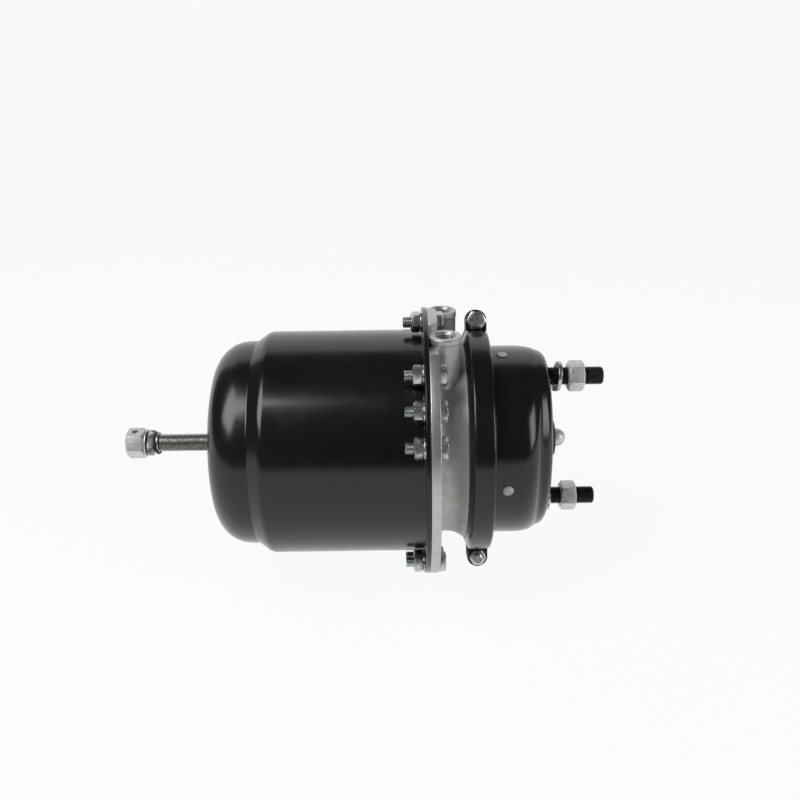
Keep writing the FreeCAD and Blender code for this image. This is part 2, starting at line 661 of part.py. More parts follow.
def make_stud_nuts():
    nut = hexagon(STUD_NUT_X, STUD_NUT_H, STUD_NUT_AF, bore=STUD_R)
    nut = spun(nut, STUD_NUT_ANGLE)
    return group([shifted(nut, z=z) for z in stud_heights()])


def make_stud_washers():
    """Split spring washers, hanging on the studs by the top of their bore."""
    washer = ring(STUD_WASHER_X, STUD_WASHER_X + STUD_WASHER_T, STUD_R + LOOSE_GAP, STUD_WASHER_R)
    slot = Part.makeBox(3 * STUD_WASHER_T, STUD_WASHER_SLOT, STUD_WASHER_R + CUT_OVER,
                        Vector(STUD_WASHER_X - STUD_WASHER_T, -STUD_WASHER_SLOT / 2, 0))
    slot.rotate(Vector(STUD_WASHER_X, 0, 0), Vector(0, 0, 1), 25)
    washer = spun(washer.cut(slot), 140)
    return group([shifted(washer, z=z - LOOSE_GAP + 0.02) for z in stud_heights()])


# V clamp

def clamp_angle_half():
    """Half of the clamp's open angle, in degrees."""
    return math.degrees(math.asin(CLAMP_GAP / 2 / CLAMP_R))


def clamp_flanks(radius):
    """Inner faces of the V at a radius: on the neck's rim and on the cover's rim."""
    rise = radius - RIM_R
    return (NECK_RIM_X0 - CLAMP_PLAY + rise * CLAMP_LEAN_NECK, RIM_X1 + CLAMP_PLAY - rise * CLAMP_LEAN_COVER)


def clamp_middle():
    """Middle of the band's flat top along the axis."""
    return sum(clamp_flanks(CLAMP_R)) / 2


def clamp_section():
    """Closed V section of the band: flanks, flat top and the inner groove."""
    wall, neck_foot, cover_foot = CLAMP_WALL, NECK_SHOULDER_R + CLAMP_SIDE_GAP, COVER_R + CLAMP_SIDE_GAP
    groove = CLAMP_R - wall
    return [(clamp_flanks(neck_foot)[0] - wall, neck_foot), (clamp_flanks(CLAMP_R)[0] - wall, CLAMP_R, 2.0),
            (clamp_flanks(CLAMP_R)[1] + wall, CLAMP_R, 2.0), (clamp_flanks(cover_foot)[1] + wall, cover_foot),
            (clamp_flanks(cover_foot)[1], cover_foot), (clamp_flanks(groove)[1], groove, 1.0),
            (clamp_flanks(groove)[0], groove, 1.0), (clamp_flanks(neck_foot)[0], neck_foot)]


def clamp_half(turn):
    """One half of the band with an ear at each end, turned by an angle about the axis."""
    half = clamp_angle_half()
    face = Part.Face(Part.Wire(rounded_edges(clamp_section())))
    band = face.revolve(Vector(0, 0, 0), Vector(1, 0, 0), 180 - 2 * half)
    band = spun(band, half)
    ears = [clamp_ear(-CLAMP_GAP / 2 - CLAMP_EAR_T), spun(clamp_ear(CLAMP_GAP / 2), 180)]
    return spun(band.fuse(ears), CLAMP_ANGLE + turn)


def clamp_ear(y0):
    """Flat ear standing on the band, drilled for the clamp bolt."""
    middle = clamp_middle()
    foot_z = CLAMP_R - CLAMP_WALL
    along = Vector(0, 1, 0)
    tab = Part.makeCylinder(CLAMP_EAR_R, CLAMP_EAR_T, Vector(middle, y0, CLAMP_BOLT_AT_R), along)
    leg = Part.makeBox(2 * CLAMP_EAR_R, CLAMP_EAR_T, CLAMP_BOLT_AT_R - foot_z,
                       Vector(middle - CLAMP_EAR_R, y0, foot_z))
    hole = Part.makeCylinder(CLAMP_BOLT_R + LOOSE_GAP, CLAMP_EAR_T + 2 * CUT_OVER,
                             Vector(middle, y0 - CUT_OVER, CLAMP_BOLT_AT_R), along)
    return tab.fuse(leg).cut(hole)


def make_clamp_band_front():
    return clamp_half(0)


def make_clamp_band_rear():
    return clamp_half(180)


def clamp_pair(shape_along_x, y0):
    """Lay a piece made along +X on both clamp bolt axes, starting at y0, along +Y."""
    copy = shape_along_x.copy()
    copy.rotate(Vector(0, 0, 0), Vector(0, 0, 1), 90)
    copy.translate(Vector(clamp_middle(), y0, CLAMP_BOLT_AT_R))
    return group([spun(copy, CLAMP_ANGLE), spun(copy, CLAMP_ANGLE + 180)])


def make_clamp_bolts():
    outer = CLAMP_GAP / 2 + CLAMP_EAR_T
    head = hexagon(0, CLAMP_HEAD_T, CLAMP_HEAD_AF, both_ends=False)
    head = head.mirror(Vector(0, 0, 0), Vector(1, 0, 0))
    shank = rod_x(-CUT_OVER, 2 * outer + CLAMP_NUT_T + CLAMP_BOLT_END, CLAMP_BOLT_R)
    return clamp_pair(head.fuse(shank), -outer)


def make_clamp_nuts():
    outer = CLAMP_GAP / 2 + CLAMP_EAR_T
    return clamp_pair(hexagon(0, CLAMP_NUT_T, CLAMP_HEAD_AF, bore=CLAMP_BOLT_R), outer)


# Spring piston and what rides with it

def make_spring_piston():
    face, crown = PISTON_FACE_X, PISTON_CROWN_T
    skirt_x = face - PISTON_SKIRT_LENGTH
    recess_x = face - PISTON_RECESS_DEPTH
    outer, recess = PISTON_R, PISTON_RECESS_R
    inner = outer - PISTON_SKIRT_T
    piston = turned([(skirt_x, inner), (skirt_x, outer, 1.0), (face, outer, 2.0), (face, recess, 3.0),
                     (recess_x, recess, 3.0), (recess_x, TUBE_R), (recess_x - crown, TUBE_R),
                     (recess_x - crown, recess + crown, 6.0), (face - crown, recess + crown, 4.0),
                     (face - crown, inner, 4.0)])
    seal_x, guide_x = piston_grooves()
    over = outer + CUT_OVER
    piston = piston.cut(ring(seal_x, seal_x + SEAL_WIDTH, outer - SEAL_DEPTH, over))
    return piston.cut(ring(guide_x, guide_x + GUIDE_WIDTH, outer - GUIDE_DEPTH, over))


def piston_grooves():
    """Starts of the seal groove and of the guide ring groove in the piston's skirt."""
    return PISTON_FACE_X - SEAL_SETBACK, PISTON_FACE_X - GUIDE_SETBACK


def make_piston_seal():
    seal_x, _ = piston_grooves()
    end, floor, edge = seal_x + SEAL_WIDTH, PISTON_R - SEAL_DEPTH, PISTON_R - 0.2
    reach = PISTON_R + PISTON_SIDE_GAP - RUN_GAP
    return turned([(seal_x, floor), (seal_x, edge), (seal_x + SEAL_LIP, reach),
                   ((seal_x + end) / 2, edge - 0.6), (end - SEAL_LIP, reach), (end, edge), (end, floor)])


def make_piston_guide():
    _, guide_x = piston_grooves()
    return ring(guide_x, guide_x + GUIDE_WIDTH, PISTON_R - GUIDE_DEPTH, PISTON_R + PISTON_SIDE_GAP - RUN_GAP)


def make_push_tube():
    return ring(TUBE_X0, TUBE_END_X, TUBE_BORE_R, TUBE_R)


def make_stop_ring():
    """Ring in the tube's mouth that the release bolt's head pulls on."""
    return ring(TUBE_X0, TUBE_X0 + STOP_RING_T, RELEASE_R + LOOSE_GAP, TUBE_BORE_R)


def make_tube_foot():
    """Closed foot of the tube that pushes on the diaphragm."""
    plug_x = TUBE_END_X - FOOT_PLUG
    return turned([(plug_x, 0), (plug_x, TUBE_BORE_R, 1.0), (TUBE_END_X, TUBE_BORE_R), (TUBE_END_X, FOOT_R),
                   (TUBE_END_X + FOOT_T, FOOT_R, 1.5), (TUBE_END_X + FOOT_T, 0)])


def make_power_spring():
    x0 = HOUSING_END_X + HOUSING_WALL + SEAT_RING_T + SEAT_GAP
    x1 = PISTON_FACE_X - PISTON_CROWN_T - SEAT_GAP
    return coil(x0, x1, POWER_COIL_R, POWER_WIRE_R, POWER_TURNS)


def make_spring_seat():
    """Seat ring between the dome and the power spring."""
    x0 = HOUSING_END_X + HOUSING_WALL
    x1, inner = x0 + SEAT_RING_T, POWER_COIL_R - POWER_WIRE_R - SEAT_RING_INSET
    return turned([(x0, inner), (x0, DOME_FLAT_R), (x1, DOME_FLAT_R + SEAT_RING_INSET), (x1, inner)])


# Release bolt

def release_stack():
    """Faces of what sits on the bolt beside its hexagon, from the hexagon inwards."""
    x = RELEASE_HEX_X0 + RELEASE_HEX_T
    faces = [x]
    for thickness in (RELEASE_WASHER_T, RELEASE_COLLAR_T, RELEASE_RING_T, RELEASE_SLEEVE_T):
        x += thickness
        faces.append(x)
    return faces


def release_head_x():
    """Seat of the bolt's inner head on the thrust washer."""
    return TUBE_X0 + STOP_RING_T + RELEASE_WASHER_T


def make_release_bolt():
    x0 = RELEASE_HEX_X0 + RELEASE_TIP_INSET
    head = release_head_x()
    bolt = turned([(x0, 0), (x0, RELEASE_R - 1.2), (x0 + 1.2, RELEASE_R), (head, RELEASE_R),
                   (head, RELEASE_HEAD_R, 0.5), (head + RELEASE_HEAD_T, RELEASE_HEAD_R, 2.0),
                   (head + RELEASE_HEAD_T, 0)])
    return bolt.cut(release_pin_shape(RELEASE_HEX_AF / 2 + CUT_OVER))


def release_pin_shape(half_length):
    """Cylinder through hexagon and bolt, square to a flat."""
    middle = RELEASE_HEX_X0 + RELEASE_HEX_T * RELEASE_HOLE_SHARE
    pin = Part.makeCylinder(RELEASE_HOLE_R, 2 * half_length, Vector(middle, 0, -half_length), Vector(0, 0, 1))
    return spun(pin, RELEASE_HEX_ANGLE)


def make_release_hex():
    nut = hexagon(RELEASE_HEX_X0, RELEASE_HEX_T, RELEASE_HEX_AF, bore=RELEASE_R, chamfer_share=0.1)
    return spun(nut, RELEASE_HEX_ANGLE).cut(release_pin_shape(RELEASE_HEX_AF / 2 + CUT_OVER))


def make_release_pin():
    return release_pin_shape(RELEASE_HEX_AF / 2 - RELEASE_PIN_INSET)


def make_release_washer():
    faces = release_stack()
    return ring(faces[0], faces[1], RELEASE_R + LOOSE_GAP, RELEASE_WASHER_R)


def make_release_collar():
    faces = release_stack()
    return turned([(faces[1], RELEASE_R + RING_LOOSE_GAP), (faces[1], RELEASE_COLLAR_R, 0.8),
                   (faces[2], RELEASE_COLLAR_R, 0.8), (faces[2], RELEASE_R + RING_LOOSE_GAP)])


def make_release_ring():
    faces = release_stack()
    return ring(faces[2], faces[3], RELEASE_R + RING_LOOSE_GAP, RELEASE_RING_R)


def make_release_sleeve():
    faces = release_stack()
    return turned([(faces[3], RELEASE_R + RING_LOOSE_GAP), (faces[3], RELEASE_SLEEVE_R, 0.6),
                   (faces[4], RELEASE_SLEEVE_R, 0.6), (faces[4], RELEASE_R + RING_LOOSE_GAP)])


def make_thrust_washer():
    head = release_head_x()
    return ring(head - RELEASE_WASHER_T, head, RELEASE_R + LOOSE_GAP, RELEASE_HEAD_R)


# Service side

def make_diaphragm():
    """Moulded diaphragm at rest: edge lip in the clamp, hat down along the neck's cavity."""
    lip_x0 = NECK_RIM_X1
    lip_x1 = lip_x0 + DIAPHRAGM_LIP_T
    outer, inner = RIM_R - LIP_INSET, NECK_MOUTH_R - DIAPHRAGM_WALL_GAP - 2 * DIAPHRAGM_T
    return turned([(lip_x0, outer), (lip_x1, outer), (lip_x1, inner, 4.0),
                   (DIAPHRAGM_X1, DIAPHRAGM_DISC_R - DIAPHRAGM_T + 1, 3.0), (DIAPHRAGM_X1, 0),
                   (DIAPHRAGM_X0, 0), (DIAPHRAGM_X0, DIAPHRAGM_DISC_R + 1, 6.0),
                   (lip_x0, inner + DIAPHRAGM_T - 0.5, 2.0)])


def make_push_plate():
    x0 = DIAPHRAGM_X1 + SEAT_GAP
    x1 = x0 + PUSH_PLATE_T
    return turned([(x0, 0), (x0, PUSH_PLATE_R, 5.0), (x1 + PUSH_PLATE_LIP, PUSH_PLATE_R),
                   (x1 + PUSH_PLATE_LIP, PUSH_PLATE_R - PUSH_PLATE_T),
                   (x1, PUSH_PLATE_R - PUSH_PLATE_T, 2.0), (x1, 0)])


def make_push_rod():
    x0 = DIAPHRAGM_X1 + SEAT_GAP + PUSH_PLATE_T
    collar = x0 + ROD_COLLAR_T
    tip = ROD_PROUD
    shaft = turned([(x0, 0), (x0, ROD_COLLAR_R, 1.0), (collar, ROD_COLLAR_R, 2.0), (collar, ROD_R, 3.0),
                    (tip - ROD_R, ROD_R), (tip - ROD_R, 0)])
    ball = Part.makeSphere(ROD_R, Vector(tip - ROD_R, 0, 0))
    return shaft.fuse(ball).removeSplitter()


def make_return_spring():
    x0 = DIAPHRAGM_X1 + SEAT_GAP + PUSH_PLATE_T + SEAT_GAP
    x1 = -COVER_WALL - STUD_PLATE_T - SEAT_GAP
    return coil(x0, x1, RETURN_COIL_R, RETURN_WIRE_R, RETURN_TURNS)


def make_rod_boot():
    """Rubber seal round the push rod, snapped into the hole of the mounting face."""
    lip = ROD_R + RUN_GAP
    inner_x = -COVER_WALL
    seal_x1 = BOOT_REACH - BOOT_MOUTH
    seal_x0 = seal_x1 - BOOT_SEAL_LENGTH
    return turned([(inner_x - BOOT_LIP_T, lip + BOOT_EDGE), (inner_x - BOOT_LIP_T, BOOT_R, 1.0),
                   (inner_x, BOOT_R), (inner_x, BOOT_HOLE_R), (0, BOOT_HOLE_R), (0, BOOT_R),
                   (BOOT_REACH, BOOT_R - BOOT_EDGE / 2, BOOT_EDGE), (BOOT_REACH, lip + BOOT_MOUTH / 2),
                   (seal_x1, lip), (seal_x0, lip), (seal_x0 - BOOT_SEAL_LENGTH, lip + BOOT_EDGE)])


PIECES = {
    "spring_housing": make_spring_housing,
    "release_bush": make_release_bush,
    "neck_flange": make_neck_flange,
    "housing_seal": make_housing_seal,
    "tube_seals": make_tube_seals,
    "tube_guide": make_tube_guide,
    "flange_bolts": make_flange_bolts,
    "flange_washers": make_flange_washers,
    "flange_nuts": make_flange_nuts,
    "mounting_cover": make_mounting_cover,
    "vent_plugs": make_vent_plugs,
    "stud_plate": make_stud_plate,
    "mounting_studs": make_mounting_studs,
    "stud_nuts": make_stud_nuts,
    "stud_washers": make_stud_washers,
    "clamp_band_front": make_clamp_band_front,
    "clamp_band_rear": make_clamp_band_rear,
    "clamp_bolts": make_clamp_bolts,
    "clamp_nuts": make_clamp_nuts,
    "spring_seat": make_spring_seat,
    "rod_boot": make_rod_boot,
    "diaphragm": make_diaphragm,
    "power_spring": make_power_spring,
    "return_spring": make_return_spring,
    "spring_piston": make_spring_piston,
    "piston_seal": make_piston_seal,
    "piston_guide": make_piston_guide,
    "push_tube": make_push_tube,
    "stop_ring": make_stop_ring,
    "tube_foot": make_tube_foot,
    "release_washer": make_release_washer,
    "release_collar": make_release_collar,
    "release_ring": make_release_ring,
    "release_sleeve": make_release_sleeve,
    "thrust_washer": make_thrust_washer,
    "release_bolt": make_release_bolt,
    "release_hex": make_release_hex,
    "release_pin": make_release_pin,
    "push_plate": make_push_plate,
    "push_rod": make_push_rod,
}

for name, make in PIECES.items():
    shape = make()
    shape.exportStep("parts/" + name + ".step")
    box = shape.BoundBox
    print(name, len(shape.Solids), "solids", shape.isValid(), round(shape.Volume / 1000, 1), "cm3",
          "x", round(box.XMin, 1), round(box.XMax, 1), "r", round(max(box.ZMax, box.YMax, -box.ZMin), 1))
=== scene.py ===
import bmesh
import bpy
import math
from mathutils import Matrix, Vector


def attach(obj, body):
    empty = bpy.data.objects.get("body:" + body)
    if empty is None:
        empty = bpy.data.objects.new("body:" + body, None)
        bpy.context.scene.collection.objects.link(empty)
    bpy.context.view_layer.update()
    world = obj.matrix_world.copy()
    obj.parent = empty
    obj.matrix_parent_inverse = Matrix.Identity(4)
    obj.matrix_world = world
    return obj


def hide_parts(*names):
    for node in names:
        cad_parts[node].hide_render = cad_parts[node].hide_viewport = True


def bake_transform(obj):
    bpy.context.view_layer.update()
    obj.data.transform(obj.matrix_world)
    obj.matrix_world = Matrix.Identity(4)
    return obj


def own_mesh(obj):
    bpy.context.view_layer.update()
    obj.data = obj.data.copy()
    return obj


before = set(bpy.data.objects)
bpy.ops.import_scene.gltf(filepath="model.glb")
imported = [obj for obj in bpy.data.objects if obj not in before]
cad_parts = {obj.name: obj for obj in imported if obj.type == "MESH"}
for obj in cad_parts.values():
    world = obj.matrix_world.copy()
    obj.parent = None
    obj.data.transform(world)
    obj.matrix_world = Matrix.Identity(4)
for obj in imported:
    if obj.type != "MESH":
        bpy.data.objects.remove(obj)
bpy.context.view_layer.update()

# Lengths are in millimetres, and MM makes them metres where they reach Blender
MM = 0.001
NEAR = 2e-6  # metres within which a point counts as on its place
MERGED = 1e-6  # metres within which points of a turned piece become one

# Sides of a full circle
FINE = 144
ROUND = 64
SMALL = 48

# Places, in millimetres
PORT_X, PORT_Y = -90.8, 33.0
STUD_Z = 60.325
CLAMP_X, CLAMP_SCREW_R, CLAMP_TURN = -60.35, 107.2, 18.0
BOLT_CIRCLE_R = 110.0
VENT_X, VENT_TURN = -40.2, 5.0
HEX_TURN = 6.0

# Threads: radius, pitch, and the share of the pitch that they are deep
M8 = (4.0, 1.25, 0.61)
M10 = (5.0, 1.5, 0.61)
M16 = (8.0, 1.5, 0.61)
PORT_THREAD = (8.0, 1.5, 0.54)
RELEASE_THREAD = (7.9, 2.0, 0.55)


# Finishes

def grain(nodes, links, scale, detail, stretch=(1, 1, 1)):
    """Noise in the piece's own space, for tone, gloss or relief."""
    where = nodes.new("ShaderNodeTexCoord")
    turn = nodes.new("ShaderNodeMapping")
    turn.inputs["Scale"].default_value = stretch
    noise = nodes.new("ShaderNodeTexNoise")
    noise.inputs["Scale"].default_value = scale
    noise.inputs["Detail"].default_value = detail
    links.new(where.outputs["Object"], turn.inputs["Vector"])
    links.new(turn.outputs["Vector"], noise.inputs["Vector"])
    return noise


def tone_between(nodes, links, shader, noise, dark, light):
    ramp = nodes.new("ShaderNodeValToRGB")
    low, high = ramp.color_ramp.elements
    low.position, low.color = 0.35, (*dark, 1)
    high.position, high.color = 0.65, (*light, 1)
    links.new(noise.outputs["Fac"], ramp.inputs["Fac"])
    links.new(ramp.outputs["Color"], shader.inputs["Base Color"])


def gloss_between(nodes, links, shader, noise, low, high):
    spread = nodes.new("ShaderNodeMapRange")
    spread.inputs["From Min"].default_value = 0.3
    spread.inputs["From Max"].default_value = 0.7
    spread.inputs["To Min"].default_value = low
    spread.inputs["To Max"].default_value = high
    links.new(noise.outputs["Fac"], spread.inputs["Value"])
    links.new(spread.outputs["Result"], shader.inputs["Roughness"])


def relief(nodes, links, shader, noise, depth, strength):
    bump = nodes.new("ShaderNodeBump")
    bump.inputs["Distance"].default_value = depth
    bump.inputs["Strength"].default_value = strength
    links.new(noise.outputs["Fac"], bump.inputs["Height"])
    links.new(bump.outputs["Normal"], shader.inputs["Normal"])


def make_finish(name, metal, tone, gloss, bump):
    """Finish with noise in its tone, gloss and relief. Each of the three gives the noise's scale and
    detail, then a pair: dark and light, least and most rough, or depth in metres and strength.
    A last value, where there is one, stretches the noise."""
    finish = bpy.data.materials.new(name)
    finish.use_nodes = True
    nodes, links = finish.node_tree.nodes, finish.node_tree.links
    shader = nodes["Principled BSDF"]
    shader.inputs["Metallic"].default_value = metal
    for effect, values in ((tone_between, tone), (gloss_between, gloss), (relief, bump)):
        scale, detail, first, second, *stretch = values
        effect(nodes, links, shader, grain(nodes, links, scale, detail, *stretch), first, second)
    return finish


# Baked gloss paint on pressed steel, with a faint orange peel
black_paint = make_finish("black paint", 0.0, tone=(18, 3, (0.004, 0.004, 0.0045), (0.007, 0.007, 0.0075)),
                          gloss=(45, 5, 0.17, 0.24), bump=(420, 2, 0.0002, 0.05))

# Sand coloured grey of a die casting, a matte skin with a fine grain
cast_alloy = make_finish("cast alloy", 0.75, tone=(60, 8, (0.44, 0.44, 0.425), (0.53, 0.53, 0.515)),
                         gloss=(160, 6, 0.42, 0.60), bump=(900, 8, 0.0003, 0.30))

# Turned faces of the casting, brighter than its skin
machined_alloy = make_finish("machined alloy", 0.95, tone=(140, 5, (0.50, 0.50, 0.49), (0.57, 0.57, 0.56)),
                             gloss=(300, 4, 0.36, 0.44, (3, 1, 1)), bump=(1600, 3, 0.00006, 0.15, (4, 1, 1)))

# Zinc plate on the small screws, nuts and washers
bright_zinc = make_finish("bright zinc", 1.0, tone=(220, 5, (0.44, 0.46, 0.46), (0.60, 0.62, 0.62)),
                          gloss=(380, 4, 0.22, 0.36), bump=(1500, 3, 0.0001, 0.18))

# Mottled whitish plate of the large nuts and the release hexagon
pale_zinc = make_finish("pale zinc", 0.8, tone=(420, 7, (0.60, 0.62, 0.60), (0.78, 0.79, 0.77)),
                        gloss=(500, 4, 0.36, 0.50), bump=(1200, 5, 0.00015, 0.25))

# Oiled bare steel of the release bolt, slightly brown in places
thread_steel = make_finish("thread steel", 1.0, tone=(260, 6, (0.31, 0.295, 0.28), (0.42, 0.41, 0.40)),
                           gloss=(420, 4, 0.28, 0.46), bump=(1800, 3, 0.0001, 0.2))

# Blackened steel of the studs and of the plates inside
black_oxide = make_finish("black oxide", 0.6, tone=(240, 6, (0.026, 0.026, 0.027), (0.058, 0.058, 0.059)),
                          gloss=(380, 4, 0.36, 0.55), bump=(1500, 3, 0.0001, 0.2))

black_rubber = make_finish("black rubber", 0.0, tone=(120, 5, (0.010, 0.010, 0.010), (0.020, 0.020, 0.020)),
                           gloss=(240, 4, 0.55, 0.75), bump=(1400, 4, 0.00015, 0.25))

# Light ground steel of the push rod
rod_steel = make_finish("ground steel", 0.55, tone=(180, 5, (0.70, 0.70, 0.69), (0.80, 0.80, 0.79)),
                        gloss=(300, 4, 0.40, 0.54), bump=(1600, 3, 0.0001, 0.15))

# Dark coating of the coil springs
spring_coat = make_finish("spring coating", 0.2, tone=(90, 5, (0.035, 0.038, 0.045), (0.07, 0.075, 0.085)),
                          gloss=(200, 4, 0.32, 0.48), bump=(900, 4, 0.0001, 0.2))

# Cream bearing plastic of the guide rings and the spring's seat
guide_plastic = make_finish("guide plastic", 0.0, tone=(70, 4, (0.56, 0.52, 0.42), (0.66, 0.62, 0.52)),
                            gloss=(200, 4, 0.42, 0.56), bump=(1000, 3, 0.0001, 0.12))

# Pale grey plastic of the vent plugs
vent_plastic = make_finish("vent plastic", 0.1, tone=(260, 5, (0.42, 0.44, 0.44), (0.58, 0.60, 0.60)),
                           gloss=(300, 4, 0.30, 0.46), bump=(1300, 3, 0.0001, 0.15))


# Workshop moves

def clear_selection():
    if bpy.context.object and bpy.context.object.mode != "OBJECT":
        bpy.ops.object.mode_set(mode="OBJECT")
    bpy.ops.object.select_all(action="DESELECT")


def take(piece):
    clear_selection()
    piece.select_set(True)
    bpy.context.view_layer.objects.active = piece


def edit(piece):
    take(piece)
    bpy.ops.object.mode_set(mode="EDIT")
    bpy.ops.mesh.select_mode(type="VERT")


def leave():
    bpy.ops.object.mode_set(mode="OBJECT")


def everything():
    bpy.ops.mesh.select_all(action="SELECT")


def pull(x, z=0.0):
    """In edit mode, draw the selection on, with new edges or faces behind it."""
    bpy.ops.mesh.extrude_region_move(TRANSFORM_OT_translate={"value": (x * MM, 0, z * MM)})


def round_off(offset, steps):
    bpy.ops.mesh.bevel(offset_type="OFFSET", offset=offset * MM, segments=steps, profile=0.5,
                       affect="EDGES", clamp_overlap=False)


def heal(distance):
    """In edit mode, merge what meets and turn all faces outwards."""
    everything()
    bpy.ops.mesh.remove_doubles(threshold=distance)
    everything()
    bpy.ops.mesh.normals_make_consistent(inside=False)


def pick(test):
    """In edit mode, select the points that the test holds for, and the edges and faces between them."""
    bpy.ops.mesh.select_all(action="DESELECT")
    mesh = bmesh.from_edit_mesh(bpy.context.object.data)
    for point in mesh.verts:
        point.select = test(point.co)
    mesh.select_flush(True)
    bmesh.update_edit_mesh(bpy.context.object.data)


def pick_faces(test):
    """In edit mode, select the faces whose middle and normal the test holds for."""
    bpy.ops.mesh.select_mode(type="FACE")
    bpy.ops.mesh.select_all(action="DESELECT")
    mesh = bmesh.from_edit_mesh(bpy.context.object.data)
    for face in mesh.faces:
        face.select = test(face.calc_center_median(), face.normal)
    bmesh.update_edit_mesh(bpy.context.object.data)


def on_ring(point, x, r):
    return abs(point.x - x * MM) < NEAR and abs(math.hypot(point.y, point.z) - r * MM) < NEAR


def corner_reach(before, here, after, radius):
    """How far back from a corner a rounding of that radius starts."""
    back = Vector((before[0] - here[0], before[1] - here[1]))
    ahead = Vector((after[0] - here[0], after[1] - here[1]))
    return radius / math.tan(back.angle(ahead) / 2)


def start_ring(name, x, radius, sides, fill):
    """Circle round X, left in edit mode with all of it selected."""
    clear_selection()
    bpy.ops.mesh.primitive_circle_add(vertices=sides, radius=radius * MM, rotation=(0, math.pi / 2, 0),
                                      fill_type=fill)
    piece = bpy.context.object
    piece.name = name
    bpy.ops.object.transform_apply(location=False, rotation=True, scale=False)
    edit(piece)
    everything()
    bpy.ops.transform.translate(value=(x * MM, 0, 0))
    return piece


def turned(name, section, sides=ROUND, closed=False, steps=6):
    """Piece turned about X: a circle pulled from ring to ring, then its rings rounded off.
    A section point is (x, r) or (x, r, corner radius). A closed section ends where it began."""
    x, r = section[0][:2]
    piece = start_ring(name, x, r, sides, "NOTHING" if closed else "NGON")
    for spot in section[1:] + (section[:1] if closed else []):
        pull(spot[0] - x)
        if spot[1] != r:
            grow = spot[1] / r
            bpy.ops.transform.resize(value=(1, grow, grow), center_override=(spot[0] * MM, 0, 0))
        x, r = spot[:2]
    heal(MERGED)
    bpy.ops.mesh.select_mode(type="EDGE")
    count = len(section)
    for i, spot in enumerate(section):
        if len(spot) > 2:
            pick(lambda point, at=spot: on_ring(point, *at[:2]))
            reach = spot[2]
            if closed or 0 < i < count - 1:
                reach = corner_reach(section[i - 1], spot, section[(i + 1) % count], spot[2])
            round_off(reach, steps)
    everything()
    bpy.ops.mesh.remove_doubles(threshold=MERGED)
    leave()
    return piece


def smooth(piece, degrees):
    take(piece)
    bpy.ops.object.shade_smooth_by_angle(angle=math.radians(degrees))


def combine(piece, tool, operation):
    """Join a tool to a piece, cut it away or keep what they share, and use the tool up."""
    take(piece)
    step = piece.modifiers.new("shape", "BOOLEAN")
    step.object = tool
    step.operation = operation
    step.solver = "EXACT"
    bpy.ops.object.modifier_apply(modifier=step.name)
    bpy.data.objects.remove(tool)
    return piece


def soften(piece, width, steps, degrees):
    """Break the sharp edges."""
    take(piece)
    step = piece.modifiers.new("edges", "BEVEL")
    step.width = width * MM
    step.segments = steps
    step.limit_method = "ANGLE"
    step.angle_limit = math.radians(degrees)
    step.use_clamp_overlap = True
    bpy.ops.object.modifier_apply(modifier=step.name)


def move(piece, x, y, z):
    edit(piece)
    everything()
    bpy.ops.transform.translate(value=(x * MM, y * MM, z * MM))
    leave()


def swing(piece, degrees, axis="X", about=(0, 0, 0)):
    """Turn a piece by the right-hand rule. With no window the operator turns the other way."""
    edit(piece)
    everything()
    bpy.ops.transform.rotate(value=-math.radians(degrees), orient_axis=axis, orient_type="GLOBAL",
                             center_override=tuple(v * MM for v in about))
    leave()


def copy_of(piece, name):
    take(piece)
    bpy.ops.object.duplicate()
    copy = bpy.context.object
    copy.name = name
    return copy


def gather(name, pieces):
    """Make one piece of a set, in the place of its first."""
    clear_selection()
    for piece in pieces:
        piece.select_set(True)
    bpy.context.view_layer.objects.active = pieces[0]
    bpy.ops.object.join()
    pieces[0].name = name
    return pieces[0]


def coat(piece, finish):
    piece.data.materials.clear()
    piece.data.materials.append(finish)


def fit(piece, body, node, finish=None):
    """Hand a finished piece over: its finish, its body and the node that it stands for."""
    if finish:
        coat(piece, finish)
    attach(piece, body)
    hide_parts(node)


def hexagon(name, x0, x1, across, chamfer, both=True):
    """Hexagon along X with a flat towards +Z. Its corners are turned off at 30 degrees, at both ends
    or at x1 alone."""
    corner = across / 2 / math.cos(math.pi / 6)
    piece = start_ring(name, x0, corner, 6, "NGON")
    pull(x1 - x0)
    everything()
    bpy.ops.mesh.normals_make_consistent(inside=False)
    leave()
    off = corner - across / 2 * (1 - chamfer)
    drop = off * math.tan(math.pi / 6)
    outline = [(x1 - drop, corner + 0.01), (x1 + 0.001, corner - off)]
    if both:
        outline = [(x0 - 0.001, corner - off), (x0 + drop, corner + 0.01)] + outline
    else:
        outline = [(x0 - 0.5, corner + 1)] + outline
    return combine(piece, turned("turning", outline, SMALL), "INTERSECT")


def hexagon_nut(name, x0, x1, across, chamfer, bore, countersink):
    """Hexagon drilled along X, with a countersink at each end."""
    nut = hexagon(name, x0, x1, across, chamfer)
    wide = bore + countersink + 1
    spots = [(x0 - 1, wide), (x0 + countersink, bore), (x1 - countersink, bore), (x1 + 1, wide)]
    return combine(nut, turned("drill", spots, SMALL), "DIFFERENCE")


def sweep_round(piece, climb, steps, angle=math.tau):
    """Sweep a line or a face once round X while it climbs."""
    take(piece)
    sweep = piece.modifiers.new("sweep", "SCREW")
    sweep.axis = "X"
    sweep.angle = angle
    sweep.screw_offset = climb * MM
    sweep.steps = steps
    sweep.render_steps = steps
    sweep.use_merge_vertices = False
    bpy.ops.object.modifier_apply(modifier=sweep.name)


